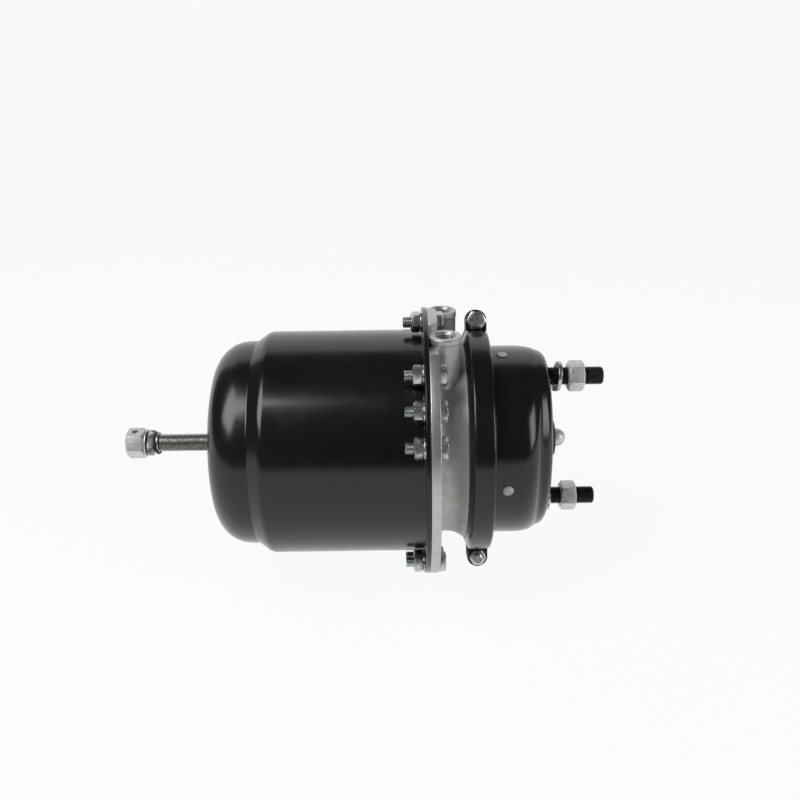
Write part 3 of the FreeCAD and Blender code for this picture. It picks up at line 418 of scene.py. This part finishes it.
def threaded(name, x0, x1, radius, pitch, depth_share, steps, chamfer=(0.0, 0.0)):
    """Rod with a cut thread: one line of teeth swept once round and one pitch along, then cut to length.
    The chamfer is how far in each end is turned off."""
    clear_selection()
    root = radius - pitch * depth_share
    start = x0 - 2 * pitch
    bpy.ops.mesh.primitive_plane_add(size=MM)
    piece = bpy.context.object
    piece.name = name
    edit(piece)
    everything()
    bpy.ops.mesh.merge(type="CENTER")
    bpy.ops.transform.translate(value=(start * MM, 0, root * MM))
    teeth = int((x1 - x0) / pitch) + 3
    flank = pitch * 0.40
    rise = radius - root
    for _ in range(teeth):
        for dx, dr in ((flank, rise), (pitch * 0.08, 0), (flank, -rise), (pitch * 0.12, 0)):
            pull(dx, dr)
    leave()
    sweep_round(piece, pitch, steps)
    edit(piece)
    everything()
    bpy.ops.mesh.remove_doubles(threshold=NEAR)
    middle = (x0 + x1) / 2 * MM
    for side, tip in ((-1, start), (1, start + (teeth + 1) * pitch)):
        bpy.ops.mesh.select_mode(type="EDGE")
        bpy.ops.mesh.select_all(action="DESELECT")
        mesh = bmesh.from_edit_mesh(piece.data)
        for edge in mesh.edges:
            edge.select = edge.is_boundary and (edge.verts[0].co.x - middle) * side > 0
        bmesh.update_edit_mesh(piece.data)
        pull(0)
        bpy.ops.transform.resize(value=(0, 0, 0), center_override=(tip * MM, 0, 0))
    heal(NEAR)
    leave()
    first, last = chamfer
    length = turned("length", [(x0, radius + 0.1 - first), (x0 + first + 0.01, radius + 0.11),
                               (x1 - last - 0.01, radius + 0.11), (x1, radius + 0.1 - last)], steps)
    return combine(piece, length, "INTERSECT")


# Spring housing

def make_spring_housing():
    """Deep drawn pot: flat end, rounded dome, a step up to the barrel and an outward flange."""
    outer = [(-291.3, 14.0), (-291.3, 90.2, 29.0), (-254.5, 91.2, 3.0), (-243.0, 99.5, 9.0),
             (-108.7, 99.5, 1.2), (-108.7, 119.5, 0.9)]
    inner = [(-104.7, 119.5, 0.9), (-104.7, 95.5, 3.2), (-243.0, 95.5, 5.0), (-254.5, 87.2, 7.0),
             (-287.3, 86.2, 25.0), (-287.3, 14.0)]
    pot = turned("drawn_pot", outer + inner, FINE, closed=True, steps=8)
    smooth(pot, 30)
    fit(pot, "chamber", "spring_housing", black_paint)


make_spring_housing()


# Neck casting

def stand_up(piece):
    """Turn a piece made along X so that it points along +Z."""
    swing(piece, -90, "Y")


def over_port(tool, y):
    """Stand a piece made along X on one port's axis."""
    stand_up(tool)
    move(tool, PORT_X, y, 0)
    return tool


def block(name, x0, x1, y0, y1, z0, z1):
    clear_selection()
    bpy.ops.mesh.primitive_cube_add(size=1)
    piece = bpy.context.object
    piece.name = name
    edit(piece)
    everything()
    bpy.ops.transform.resize(value=((x1 - x0) * MM, (y1 - y0) * MM, (z1 - z0) * MM))
    bpy.ops.transform.translate(value=((x0 + x1) / 2 * MM, (y0 + y1) / 2 * MM, (z0 + z1) / 2 * MM))
    leave()
    return piece


def notch(side):
    """Space beside a port where the casting's flange is cut down flat."""
    near, far = sorted((side * PORT_Y, side * 72.0))
    return block("notch", -108.0, -88.0, near, far, 104.5, 125.0)


def spot_face(y):
    """Room round a port for its fitting."""
    return over_port(turned("spot_face", [(112.0, 16.0), (125.0, 16.0)], 96), y)


def port_boss(y, radius):
    """Upright boss with a slightly wider machined collar on top."""
    boss = turned("boss", [(56.0, radius - 0.5), (106.5, radius - 0.5, 0.6), (107.2, radius, 0.4),
                           (112.0, radius, 1.1)], steps=3)
    return over_port(boss, y)


def cut_port(neck, y):
    """Bore with a wide countersink, the drilling below it, and the thread."""
    core = turned("core", [(64.0, 2.6), (96.0, 2.6), (96.0, 7.25), (109.9, 7.25), (113.0, 10.35)], SMALL)
    combine(neck, over_port(core, y), "DIFFERENCE")
    thread = threaded("tap", 97.0, 110.6, *PORT_THREAD, 32)
    combine(neck, over_port(thread, y), "DIFFERENCE")


def is_machined(middle, way):
    """Whether a face of the casting is on a port's top, in a port's bore or on the flange's rim."""
    top = middle.z > 111.0 * MM and way.z > 0.5
    bore = (math.hypot(middle.x - PORT_X * MM, abs(middle.y) - PORT_Y * MM) < 9.0 * MM
            and middle.z > 90.0 * MM)
    rim = middle.x < -96.0 * MM and math.hypot(middle.y, middle.z) > 118.0 * MM
    return top or bore or rim


def make_neck_casting():
    """Flange, waist, clamping rim and the cup behind it, with the two port bosses."""
    section = [(-125.0, 16.1), (-125.0, 26.0, 2.0), (-101.5, 26.0, 4.0), (-101.5, 85.4, 3.0),
               (-110.7, 85.4, 1.5), (-110.7, 95.4, 1.5), (-104.7, 95.4), (-104.7, 119.5, 0.8),
               (-96.6, 119.5, 0.8), (-96.6, 84.0, 3.0), (-86.0, 80.8, 18.0), (-73.4, 88.5, 2.0),
               (-69.0, 88.5), (-69.0, 92.0, 1.0), (-60.5, 92.0, 1.0), (-60.5, 82.0, 3.0),
               (-93.0, 73.0, 10.0), (-93.0, 16.1)]
    neck = turned("neck_casting", section, FINE, closed=True, steps=5)
    for side in (-1, 1):
        combine(neck, notch(side), "DIFFERENCE")
        combine(neck, spot_face(side * PORT_Y), "DIFFERENCE")
    for y, radius in ((-PORT_Y, 14.0), (PORT_Y, 13.2)):
        combine(neck, port_boss(y, radius), "UNION")
    hollow = turned("hollow", [(-92.99, 62.0), (-90.5, 70.2), (-85.0, 75.1), (-60.0, 82.05), (-58.0, 82.05)],
                    FINE)
    combine(neck, hollow, "DIFFERENCE")
    for y in (-PORT_Y, PORT_Y):
        cut_port(neck, y)
    smooth(neck, 28)
    coat(neck, cast_alloy)
    neck.data.materials.append(machined_alloy)
    edit(neck)
    pick_faces(is_machined)
    neck.active_material_index = 1
    bpy.ops.object.material_slot_assign()
    leave()
    fit(neck, "chamber", "neck_flange")


make_neck_casting()


# Mounting cover

def on_oval(point, x, ry, rz):
    return abs(point.x - x * MM) < NEAR and abs(math.hypot(point.y / ry, point.z / rz) - MM) < 1e-7


def pressed(name, section, sides, steps):
    """Closed section like turned, but a ring may be an oval. A point is (x, ry, rz), or
    (x, ry, rz, offset) where the ring is rounded off."""
    x, ry, rz = section[0][:3]
    piece = start_ring(name, x, ry, sides, "NOTHING")
    for spot in section[1:] + section[:1]:
        pull(spot[0] - x)
        bpy.ops.transform.resize(value=(1, spot[1] / ry, spot[2] / rz), center_override=(spot[0] * MM, 0, 0))
        x, ry, rz = spot[:3]
    heal(MERGED)
    for spot in section:
        if len(spot) > 3:
            bpy.ops.mesh.select_mode(type="EDGE")
            pick(lambda point, at=spot: on_oval(point, *at[:3]))
            round_off(spot[3], steps)
    leave()
    return piece


def make_mounting_cover():
    """Pressed dish: clamping rim, round side, a shoulder that turns into the oval of the raised pad."""
    outer = [(-53.5, 92.4, 92.4), (-53.5, 84.0, 84.0, 3.0), (-29.0, 84.0, 84.0)]
    inner = [(-56.5, 92.4, 92.4), (-56.5, 81.0, 81.0, 5.0), (-29.0, 81.0, 81.0)]
    end = math.radians(76)  # the side's curve stops short of flat, where the pad rises from it
    for angle in (12, 24, 36, 48, 60, 70):
        turn = math.radians(angle)
        reach = math.sin(turn) / math.sin(end)
        drop = (1 - math.cos(turn)) / (1 - math.cos(end))
        outer.append((-29.0 + 18.2 * reach, 84.0 - 15.2 * drop, 84.0 - 1.4 * drop))
        inner.append((-29.0 + 15.3 * reach, 81.0 - 13.2 * drop, 81.0 - 1.2 * drop))
    outer += [(-10.8, 68.8, 82.6, 1.6), (-0.02, 65.0, 79.0, 6.5), (-0.02, 16.2, 16.2, 1.0)]
    inner += [(-13.7, 67.0, 79.8), (-3.0, 61.0, 74.0, 3.0), (-3.0, 16.2, 16.2)]
    cover = pressed("pressed_cover", outer + inner[::-1], FINE, 7)
    for z in (STUD_Z, -STUD_Z):
        hole = turned("stud_hole", [(-12.0, 8.2), (3.0, 8.2)], SMALL)
        move(hole, 0, 0, z)
        combine(cover, hole, "DIFFERENCE")
    smooth(cover, 30)
    fit(cover, "chamber", "mounting_cover", black_paint)


make_mounting_cover()


def make_vent_plugs():
    """Low round caps of the four vents, each with a narrow groove round it."""
    plugs = []
    for k in range(4):
        plug = turned("vent", [(80.5, 3.0), (84.1, 3.0), (84.1, 4.7, 0.3), (84.75, 4.7, 0.5),
                               (85.3, 3.2, 1.2), (85.4, 1.0)], 32, steps=3)
        stand_up(plug)
        move(plug, VENT_X, 0, 0)
        swing(plug, 90.0 * k + VENT_TURN)
        plugs.append(plug)
    plugs = gather("vent_caps", plugs)
    smooth(plugs, 40)
    fit(plugs, "chamber", "vent_plugs", vent_plastic)


make_vent_plugs()


# V clamp

HALF_GAP, EAR_THICKNESS = 4.5, 4.0


def to_clamp_screw(piece):
    """Lay a piece made along X on the line of the clamp's screw, along Y."""
    swing(piece, 90, "Z")
    move(piece, CLAMP_X, 0, CLAMP_SCREW_R)
    return piece


def clamp_ear(y0):
    """Flat ear with a round top, drilled for the clamp screw."""
    y1 = y0 + EAR_THICKNESS
    ear = to_clamp_screw(turned("ear", [(y0, 9.3), (y1, 9.3)]))
    leg = block("leg", CLAMP_X - 9.25, CLAMP_X + 9.25, y0, y1, 97.0, CLAMP_SCREW_R)
    combine(ear, leg, "UNION")
    drill = to_clamp_screw(turned("drill", [(y0 - 1, 4.3), (y1 + 1, 4.3)], 32))
    combine(ear, drill, "DIFFERENCE")
    soften(ear, 0.5, 2, 40)
    return ear


def make_clamp_half(name, side, node):
    """Half of the rolled V band with an ear at each end."""
    section = [(-73.2, 89.5), (-69.2, 99.5, 3.0), (-51.5, 99.5, 3.0), (-49.5, 85.0), (-52.0, 85.0),
               (-53.75, 96.9, 1.2), (-67.6, 96.9, 1.2), (-70.6, 89.5)]
    band = turned(name, section, FINE, closed=True, steps=5)
    edit(band)
    everything()
    bpy.ops.mesh.bisect(plane_co=(0, side * HALF_GAP * MM, 0), plane_no=(0, side, 0), use_fill=True,
                        clear_inner=True)
    leave()
    soften(band, 0.35, 2, 50)
    ear_y = HALF_GAP if side > 0 else -HALF_GAP - EAR_THICKNESS
    upper, lower = clamp_ear(ear_y), clamp_ear(ear_y)
    edit(lower)
    everything()
    bpy.ops.transform.resize(value=(1, 1, -1), center_override=(0, 0, 0))
    bpy.ops.mesh.normals_make_consistent(inside=False)
    leave()
    half = gather(name, [band, upper, lower])
    swing(half, -CLAMP_TURN)
    smooth(half, 32)
    fit(half, "chamber", node, black_paint)


make_clamp_half("band_front", -1, "clamp_band_front")
make_clamp_half("band_rear", 1, "clamp_band_rear")


def make_clamp_screws():
    """Two screws with their nuts, one at the top and one half a turn on."""
    screws, nuts = [], []
    for half_turn in (0, 180):
        head = hexagon("clamp_head", -13.8, -8.5, 15.4, 0.1)
        thread = threaded("clamp_thread", 6.0, 20.0, *M8, 24)
        shank = turned("clamp_shank", [(-9.0, 3.95), (6.2, 3.95)], 32)
        screw = gather("clamp_screw", [head, thread, shank])
        nut = hexagon_nut("clamp_nut", 8.5, 15.0, 13.0, 0.12, bore=3.8, countersink=0.5)
        for piece, group in ((screw, screws), (nut, nuts)):
            swing(to_clamp_screw(piece), half_turn - CLAMP_TURN)
            group.append(piece)
    screws, nuts = gather("clamp_screws", screws), gather("clamp_lock_nuts", nuts)
    for piece, node in ((screws, "clamp_bolts"), (nuts, "clamp_nuts")):
        smooth(piece, 30)
        fit(piece, "chamber", node, bright_zinc)


make_clamp_screws()


# Screws of the neck flange

# Angles from +Z at which the screws stand, and each one's own turn
FLANGE_ANGLES = (-4.0, 36.0, 52.5, 67.5, 142.0, 164.0, -36.0, -52.5, -67.5, -142.0, -164.0)
FLANGE_TURNS = (8.0, -14.0, 22.0, 4.0, -9.0, 17.0, 26.0, -5.0, 12.0, -20.0, 3.0)


def round_the_flange(name, pattern):
    """Copies of one piece on the bolt circle, each turned a little on its own axis."""
    copies = []
    for angle, turn in zip(FLANGE_ANGLES, FLANGE_TURNS):
        copy = copy_of(pattern, name)
        swing(copy, turn)
        move(copy, 0, 0, BOLT_CIRCLE_R)
        swing(copy, angle)
        copies.append(copy)
    bpy.data.objects.remove(pattern)
    return gather(name, copies)


def make_flange_screws():
    head = hexagon("flange_head", -96.6, -90.4, 16.0, 0.12, both=False)
    soften(head, 0.2, 2, 40)
    thread = threaded("flange_thread", -125.3, -100.0, *M10, 24, (1.0, 0.0))
    shank = turned("flange_shank", [(-100.5, 4.9), (-96.0, 4.9)], 32)
    screws = round_the_flange("flange_screws", gather("flange_screw", [head, thread, shank]))
    smooth(screws, 32)
    fit(screws, "chamber", "flange_bolts", bright_zinc)


make_flange_screws()


def make_flange_nuts():
    nut = hexagon_nut("flange_nut", -118.5, -110.3, 16.0, 0.13, bore=4.9, countersink=0.7)
    soften(nut, 0.2, 2, 40)
    nuts = round_the_flange("flange_lock_nuts", nut)
    smooth(nuts, 32)
    fit(nuts, "chamber", "flange_nuts", bright_zinc)
    washer = turned("flange_washer", [(-110.3, 5.3), (-110.3, 9.0, 0.35), (-108.7, 9.0, 0.35), (-108.7, 5.3)],
                    SMALL, closed=True, steps=2)
    washers = round_the_flange("flange_discs", washer)
    smooth(washers, 32)
    fit(washers, "chamber", "flange_washers", bright_zinc)


make_flange_nuts()


# Studs of the mounting face

def make_studs():
    studs = []
    for z in (STUD_Z, -STUD_Z):
        root = turned("stud_root", [(-12.5, 13.0, 1.5), (-7.0, 13.0), (-7.0, 7.9), (1.5, 7.9)], SMALL)
        soften(root, 0.6, 3, 40)
        thread = threaded("stud_thread", 0.5, 50.0, *M16, 40, (0.0, 1.6))
        stud = gather("stud", [root, thread])
        move(stud, 0, 0, z)
        studs.append(stud)
    studs = gather("black_studs", studs)
    smooth(studs, 32)
    fit(studs, "chamber", "mounting_studs", black_oxide)


make_studs()


def make_stud_nuts():
    nuts = []
    for z in (STUD_Z, -STUD_Z):
        nut = hexagon_nut("stud_nut", 18.6, 33.4, 24.0, 0.11, bore=7.7, countersink=1.0)
        soften(nut, 0.35, 3, 40)
        swing(nut, HEX_TURN)
        move(nut, 0, 0, z)
        nuts.append(nut)
    nuts = gather("stud_lock_nuts", nuts)
    smooth(nuts, 32)
    fit(nuts, "chamber", "stud_nuts", pale_zinc)


make_stud_nuts()


def spring_washer(name, x0, rise):
    """Split ring: a flat bar swept almost once round while it climbs."""
    inner, outer, thick = 8.4, 13.4, 3.4
    clear_selection()
    bpy.ops.mesh.primitive_plane_add(size=1, rotation=(math.pi / 2, 0, 0))
    piece = bpy.context.object
    piece.name = name
    bpy.ops.object.transform_apply(location=False, rotation=True, scale=False)
    edit(piece)
    everything()
    bpy.ops.transform.resize(value=(thick * MM, 1, (outer - inner) * MM))
    bpy.ops.transform.translate(value=((x0 + thick / 2) * MM, 0, (outer + inner) / 2 * MM))
    bpy.ops.mesh.bevel(offset=0.5 * MM, segments=3, affect="VERTICES")
    leave()
    sweep_round(piece, rise, 72, math.radians(348))
    edit(piece)
    everything()
    bpy.ops.mesh.remove_doubles(threshold=NEAR)
    bpy.ops.mesh.select_all(action="DESELECT")
    bpy.ops.mesh.select_non_manifold()
    bpy.ops.mesh.fill_holes(sides=0)
    everything()
    bpy.ops.mesh.normals_make_consistent(inside=False)
    leave()
    return piece


def make_stud_washers():
    """The upper one hangs loose and leans, the lower one lies near the face."""
    upper = spring_washer("upper_washer", 7.6, 1.6)
    swing(upper, 150)
    swing(upper, 7, "Y", (9.0, 0, 0))
    move(upper, 0, 0, 60.1)
    lower = spring_washer("lower_washer", 4.6, 1.2)
    swing(lower, 110)
    swing(lower, -4, "Y", (6.0, 0, 0))
    move(lower, 0, 0, -60.5)
    washers = gather("split_washers", [upper, lower])
    smooth(washers, 40)
    fit(washers, "chamber", "stud_washers", bright_zinc)


make_stud_washers()


# Push rod and its boot

def make_push_rod():
    """Rod with a foot under the plate and a ball for its end."""
    radius, middle = 8.0, 12.7
    steps = [math.radians(angle) for angle in range(10, 90, 10)]
    ball = [(middle + radius * math.sin(step), radius * math.cos(step)) for step in steps]
    foot = [(-82.7, 14.0, 1.0), (-74.7, 14.0, 1.5), (-74.7, radius, 2.0)]
    rod = turned("round_rod", foot + [(middle, radius)] + ball + [(20.68, 0.3)])
    smooth(rod, 35)
    fit(rod, "rod", "push_rod", rod_steel)


make_push_rod()


def make_rod_boot():
    """Rubber collar buttoned into the mouth of the pad, with a lip on the rod."""
    boot = turned("rubber_boot", [(-6.0, 10.6), (-6.0, 19.0, 1.0), (-3.0, 19.0), (-3.0, 15.9), (-0.1, 15.9),
                                  (-0.1, 19.0, 1.2), (4.2, 18.6, 1.5), (5.0, 17.0, 0.6), (5.8, 17.6, 0.8),
                                  (9.8, 16.4, 2.2), (9.8, 9.6, 0.8), (6.8, 8.1), (4.8, 8.1), (2.8, 10.6)],
                  96, closed=True, steps=4)
    smooth(boot, 40)
    fit(boot, "chamber", "rod_boot", black_rubber)


make_rod_boot()


# Release bolt and what is on it

def make_release_screw():
    """Long screw with a round head at its inner end."""
    thread = threaded("release_thread", -375.4, -192.0, *RELEASE_THREAD, 36, (1.4, 0.0))
    head = turned("inner_head", [(-193.0, 7.0), (-190.7, 7.0), (-190.7, 11.7, 0.6), (-181.7, 11.7, 2.0),
                                 (-181.7, 3.0)], steps=3)
    screw = gather("release_stem", [thread, head])
    smooth(screw, 32)
    fit(screw, "release_screw", "release_bolt", thread_steel)


make_release_screw()


def make_release_hex():
    """Hexagon of the release bolt with the dark cross hole in its upper flat."""
    x0, x1 = -376.2, -359.6
    nut = hexagon_nut("release_nut", x0, x1, 24.0, 0.13, bore=7.7, countersink=0.6)
    cross = turned("cross_hole", [(-14.0, 2.8), (14.0, 2.8)], 40)
    stand_up(cross)
    move(cross, x0 + (x1 - x0) * 0.47, 0, 0)
    combine(nut, cross, "DIFFERENCE")
    soften(nut, 0.4, 3, 40)
    swing(nut, HEX_TURN)
    smooth(nut, 32)
    fit(nut, "release_screw", "release_hex", pale_zinc)


make_release_hex()


def make_release_washer():
    """Thin washer next to the hexagon, leaning a little."""
    disc = turned("thin_disc", [(-359.4, 8.2), (-359.4, 12.5, 0.3), (-358.2, 12.5, 0.3), (-358.2, 8.2)],
                  closed=True, steps=2)
    swing(disc, 3, "Y", (-358.8, 0, 0))
    smooth(disc, 32)
    fit(disc, "release_carrier", "release_washer", pale_zinc)


make_release_washer()


def make_release_collar():
    """Knurled ring that leans the same way: every other line of its skin is pressed in."""
    lines = 96
    ring = turned("knurled_ring", [(-357.5, 8.1), (-357.5, 10.6, 0.5), (-356.4, 11.5, 0.4),
                                   (-352.6, 11.5, 0.4), (-351.5, 10.6, 0.5), (-351.5, 8.1)],
                  lines, closed=True, steps=2)
    edit(ring)
    pick(lambda point: math.hypot(point.y, point.z) > 10.8 * MM
         and round(math.degrees(math.atan2(point.y, point.z)) * lines / 360) % 2 == 0)
    bpy.ops.transform.resize(value=(1, 0.955, 0.955), center_override=(0, 0, 0))
    leave()
    swing(ring, 7, "Y", (-354.5, 0, 0))
    smooth(ring, 25)
    fit(ring, "release_carrier", "release_collar", thread_steel)


make_release_collar()


def make_release_seal():
    """Round rubber ring that leans the other way."""
    x = -349.6
    clear_selection()
    bpy.ops.mesh.primitive_torus_add(major_radius=9.3 * MM, minor_radius=1.3 * MM, major_segments=72,
                                     minor_segments=20, rotation=(0, math.pi / 2, 0))
    seal = bpy.context.object
    seal.name = "round_seal"
    bpy.ops.object.transform_apply(location=False, rotation=True, scale=False)
    edit(seal)
    everything()
    bpy.ops.transform.resize(value=(1.0, 1.02, 0.99))
    bpy.ops.transform.translate(value=(x * MM, 0, 0))
    leave()
    swing(seal, -9, "Y", (x, 0, 0))
    smooth(seal, 60)
    fit(seal, "release_carrier", "release_ring", black_rubber)


make_release_seal()


def make_release_sleeve():
    """Short sleeve between the rubber ring and the bush."""
    sleeve = turned("short_sleeve", [(-349.2, 8.1), (-349.2, 9.6, 0.4), (-347.2, 9.6, 0.4), (-347.2, 8.1)],
                    closed=True, steps=2)
    smooth(sleeve, 32)
    fit(sleeve, "release_carrier", "release_sleeve", thread_steel)


make_release_sleeve()


def make_release_bush():
    """Shouldered bush in the middle of the dome."""
    bush = turned("threaded_bush", [(-291.4, 8.7, 0.3), (-291.4, 13.9, 0.3), (-287.3, 14.0),
                                    (-287.3, 17.0, 0.6), (-283.3, 17.0, 0.6), (-283.3, 14.0),
                                    (-277.3, 14.0, 1.0), (-277.3, 8.0), (-290.6, 8.0)],
                  72, closed=True, steps=3)
    smooth(bush, 32)
    fit(bush, "chamber", "release_bush", bright_zinc)


make_release_bush()


# What stays inside keeps its plain shape and gets its finish

def finish_inside(finish, *names):
    for name in names:
        coat(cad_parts[name], finish)


finish_inside(black_rubber, "housing_seal", "tube_seals", "piston_seal")
finish_inside(guide_plastic, "tube_guide", "piston_guide", "spring_seat")
finish_inside(spring_coat, "power_spring")
finish_inside(cast_alloy, "spring_piston")
finish_inside(thread_steel, "push_tube", "stop_ring", "release_pin")
finish_inside(bright_zinc, "tube_foot", "thrust_washer")
finish_inside(black_oxide, "stud_plate", "push_plate")


# The push plate works on two soft parts, which give way as it moves; here each keeps its CAD shape


def whole_copy(name, node):
    """The CAD part's own shape as one closed skin, its doubled points merged and its faces smooth shaded."""
    piece = bpy.data.objects.new(name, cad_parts[node].data.copy())
    bpy.context.scene.collection.objects.link(piece)
    edit(piece)
    everything()
    bpy.ops.mesh.remove_doubles(threshold=MERGED)
    leave()
    smooth(piece, 35)
    return piece


def make_coil_return():
    """Return spring, which the push plate squashes against the cover."""
    coil = whole_copy("coil_return", "return_spring")
    fit(coil, "chamber", "return_spring", spring_coat)
    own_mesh(coil)


def make_rolling_diaphragm():
    """Diaphragm, held by its lip in the clamp while its disc goes out with the rod."""
    cup = whole_copy("rolling_diaphragm", "diaphragm")
    coat(cup, black_rubber)
    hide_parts("diaphragm")
    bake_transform(cup)


make_coil_return()
make_rolling_diaphragm()


# Studio, in metres

FLOOR_Z = -0.135
STAGE_SIZE, BACKDROP_HEIGHT, BACKDROP_BEND = 6.0, 4.0, 1.4
SHOWN_WHITE = 0.93
AIR_STRENGTH = 0.1
STAGE_X = -0.16


def make_backdrop_white():
    """Nearly plain white to the camera and in reflections, and matte to the lamps for the shadow."""
    white = bpy.data.materials.new("backdrop white")
    white.use_nodes = True
    nodes, links = white.node_tree.nodes, white.node_tree.links
    nodes.clear()
    end = nodes.new("ShaderNodeOutputMaterial")
    glow = nodes.new("ShaderNodeEmission")
    glow.inputs["Color"].default_value = (1, 1, 1, 1)
    glow.inputs["Strength"].default_value = 1.0
    matte = nodes.new("ShaderNodeBsdfDiffuse")
    matte.inputs["Color"].default_value = (0.9, 0.9, 0.9, 1)
    blend = nodes.new("ShaderNodeMixShader")
    path = nodes.new("ShaderNodeLightPath")
    share = nodes.new("ShaderNodeMath")
    share.operation = "MULTIPLY"
    share.inputs[1].default_value = SHOWN_WHITE
    seen = nodes.new("ShaderNodeMath")
    seen.operation = "MAXIMUM"
    through = nodes.new("ShaderNodeMath")
    through.operation = "MAXIMUM"
    links.new(path.outputs["Is Camera Ray"], seen.inputs[0])
    links.new(path.outputs["Is Glossy Ray"], seen.inputs[1])
    links.new(seen.outputs["Value"], through.inputs[0])
    links.new(path.outputs["Is Transmission Ray"], through.inputs[1])
    links.new(through.outputs["Value"], share.inputs[0])
    links.new(share.outputs["Value"], blend.inputs["Fac"])
    links.new(matte.outputs["BSDF"], blend.inputs[1])
    links.new(glow.outputs["Emission"], blend.inputs[2])
    links.new(blend.outputs["Shader"], end.inputs["Surface"])
    return white


def make_stage():
    """Pale floor running up into a backdrop."""
    clear_selection()
    bpy.ops.mesh.primitive_plane_add(size=STAGE_SIZE, location=(STAGE_X, 0, 0))
    floor = bpy.context.object
    floor.name = "pale_floor"
    bpy.ops.object.transform_apply(location=True)
    edit(floor)
    pick(lambda point: point.y > 0)
    bpy.ops.mesh.select_mode(type="EDGE")
    bpy.ops.mesh.extrude_region_move(TRANSFORM_OT_translate={"value": (0, 0, BACKDROP_HEIGHT)})
    pick(lambda point: point.y > STAGE_SIZE / 2 - 0.1 and point.z < 0.01)
    bpy.ops.mesh.bevel(offset=BACKDROP_BEND, segments=16, profile=0.5, affect="EDGES")
    everything()
    bpy.ops.transform.translate(value=(0, 0, FLOOR_Z))
    leave()
    smooth(floor, 60)
    coat(floor, make_backdrop_white())


def soft_light(name, place, aim, width, height, power):
    """Rectangular soft box, with its place and size in metres and its power in watts."""
    clear_selection()
    bpy.ops.object.light_add(type="AREA", location=place)
    lamp = bpy.context.object
    lamp.name = name
    lamp.data.shape = "RECTANGLE"
    lamp.data.size = width
    lamp.data.size_y = height
    lamp.data.energy = power
    way = Vector(aim) - Vector(place)
    lamp.rotation_euler = way.to_track_quat("-Z", "Y").to_euler()


def light_the_studio():
    """Two large soft boxes in dim air, which shows white only where the camera looks past the stage."""
    soft_light("left_box", (-1.12, -0.62, 1.25), (-0.2, 0, 0), 1.0, 1.15, 19)
    soft_light("right_box", (1.35, -0.75, 0.62), (-0.05, 0, 0), 0.7, 1.0, 9)
    world = bpy.data.worlds.new("studio air")
    bpy.context.scene.world = world
    world.use_nodes = True
    nodes, links = world.node_tree.nodes, world.node_tree.links
    air = nodes["Background"]
    air.inputs["Color"].default_value = (1, 1, 1, 1)
    air.inputs["Strength"].default_value = AIR_STRENGTH
    bright = nodes.new("ShaderNodeBackground")
    bright.inputs["Strength"].default_value = 1.0
    path = nodes.new("ShaderNodeLightPath")
    blend = nodes.new("ShaderNodeMixShader")
    links.new(path.outputs["Is Camera Ray"], blend.inputs["Fac"])
    links.new(air.outputs["Background"], blend.inputs[1])
    links.new(bright.outputs["Background"], blend.inputs[2])
    links.new(blend.outputs["Shader"], nodes["World Output"].inputs["Surface"])


def set_up_camera():
    """The object's axis level, seen from 24 degrees above, as in the photograph."""
    tilt, roll = math.radians(24.0), math.radians(0.8)
    middle_x, distance, shift_up = -0.1293, 0.8455, 0.0358
    toward = Vector((0, -math.cos(tilt), math.sin(tilt)))
    rise = Vector((0, math.sin(tilt), math.cos(tilt)))
    right = Vector((math.cos(roll), 0, 0)) - rise * math.sin(roll)
    up = Vector((math.sin(roll), 0, 0)) + rise * math.cos(roll)
    place = Vector((middle_x, 0, 0)) + toward * distance + up * shift_up
    bpy.ops.object.camera_add()
    camera = bpy.context.object
    camera.data.sensor_width = 36
    camera.data.lens = 41.85
    camera.data.clip_start = 0.02
    camera.data.clip_end = 20
    camera.matrix_world = Matrix.Translation(place) @ Matrix((right, up, toward)).transposed().to_4x4()
    bpy.context.scene.camera = camera


make_stage()
light_the_studio()
set_up_camera()
bpy.context.scene.view_settings.view_transform = "Standard"
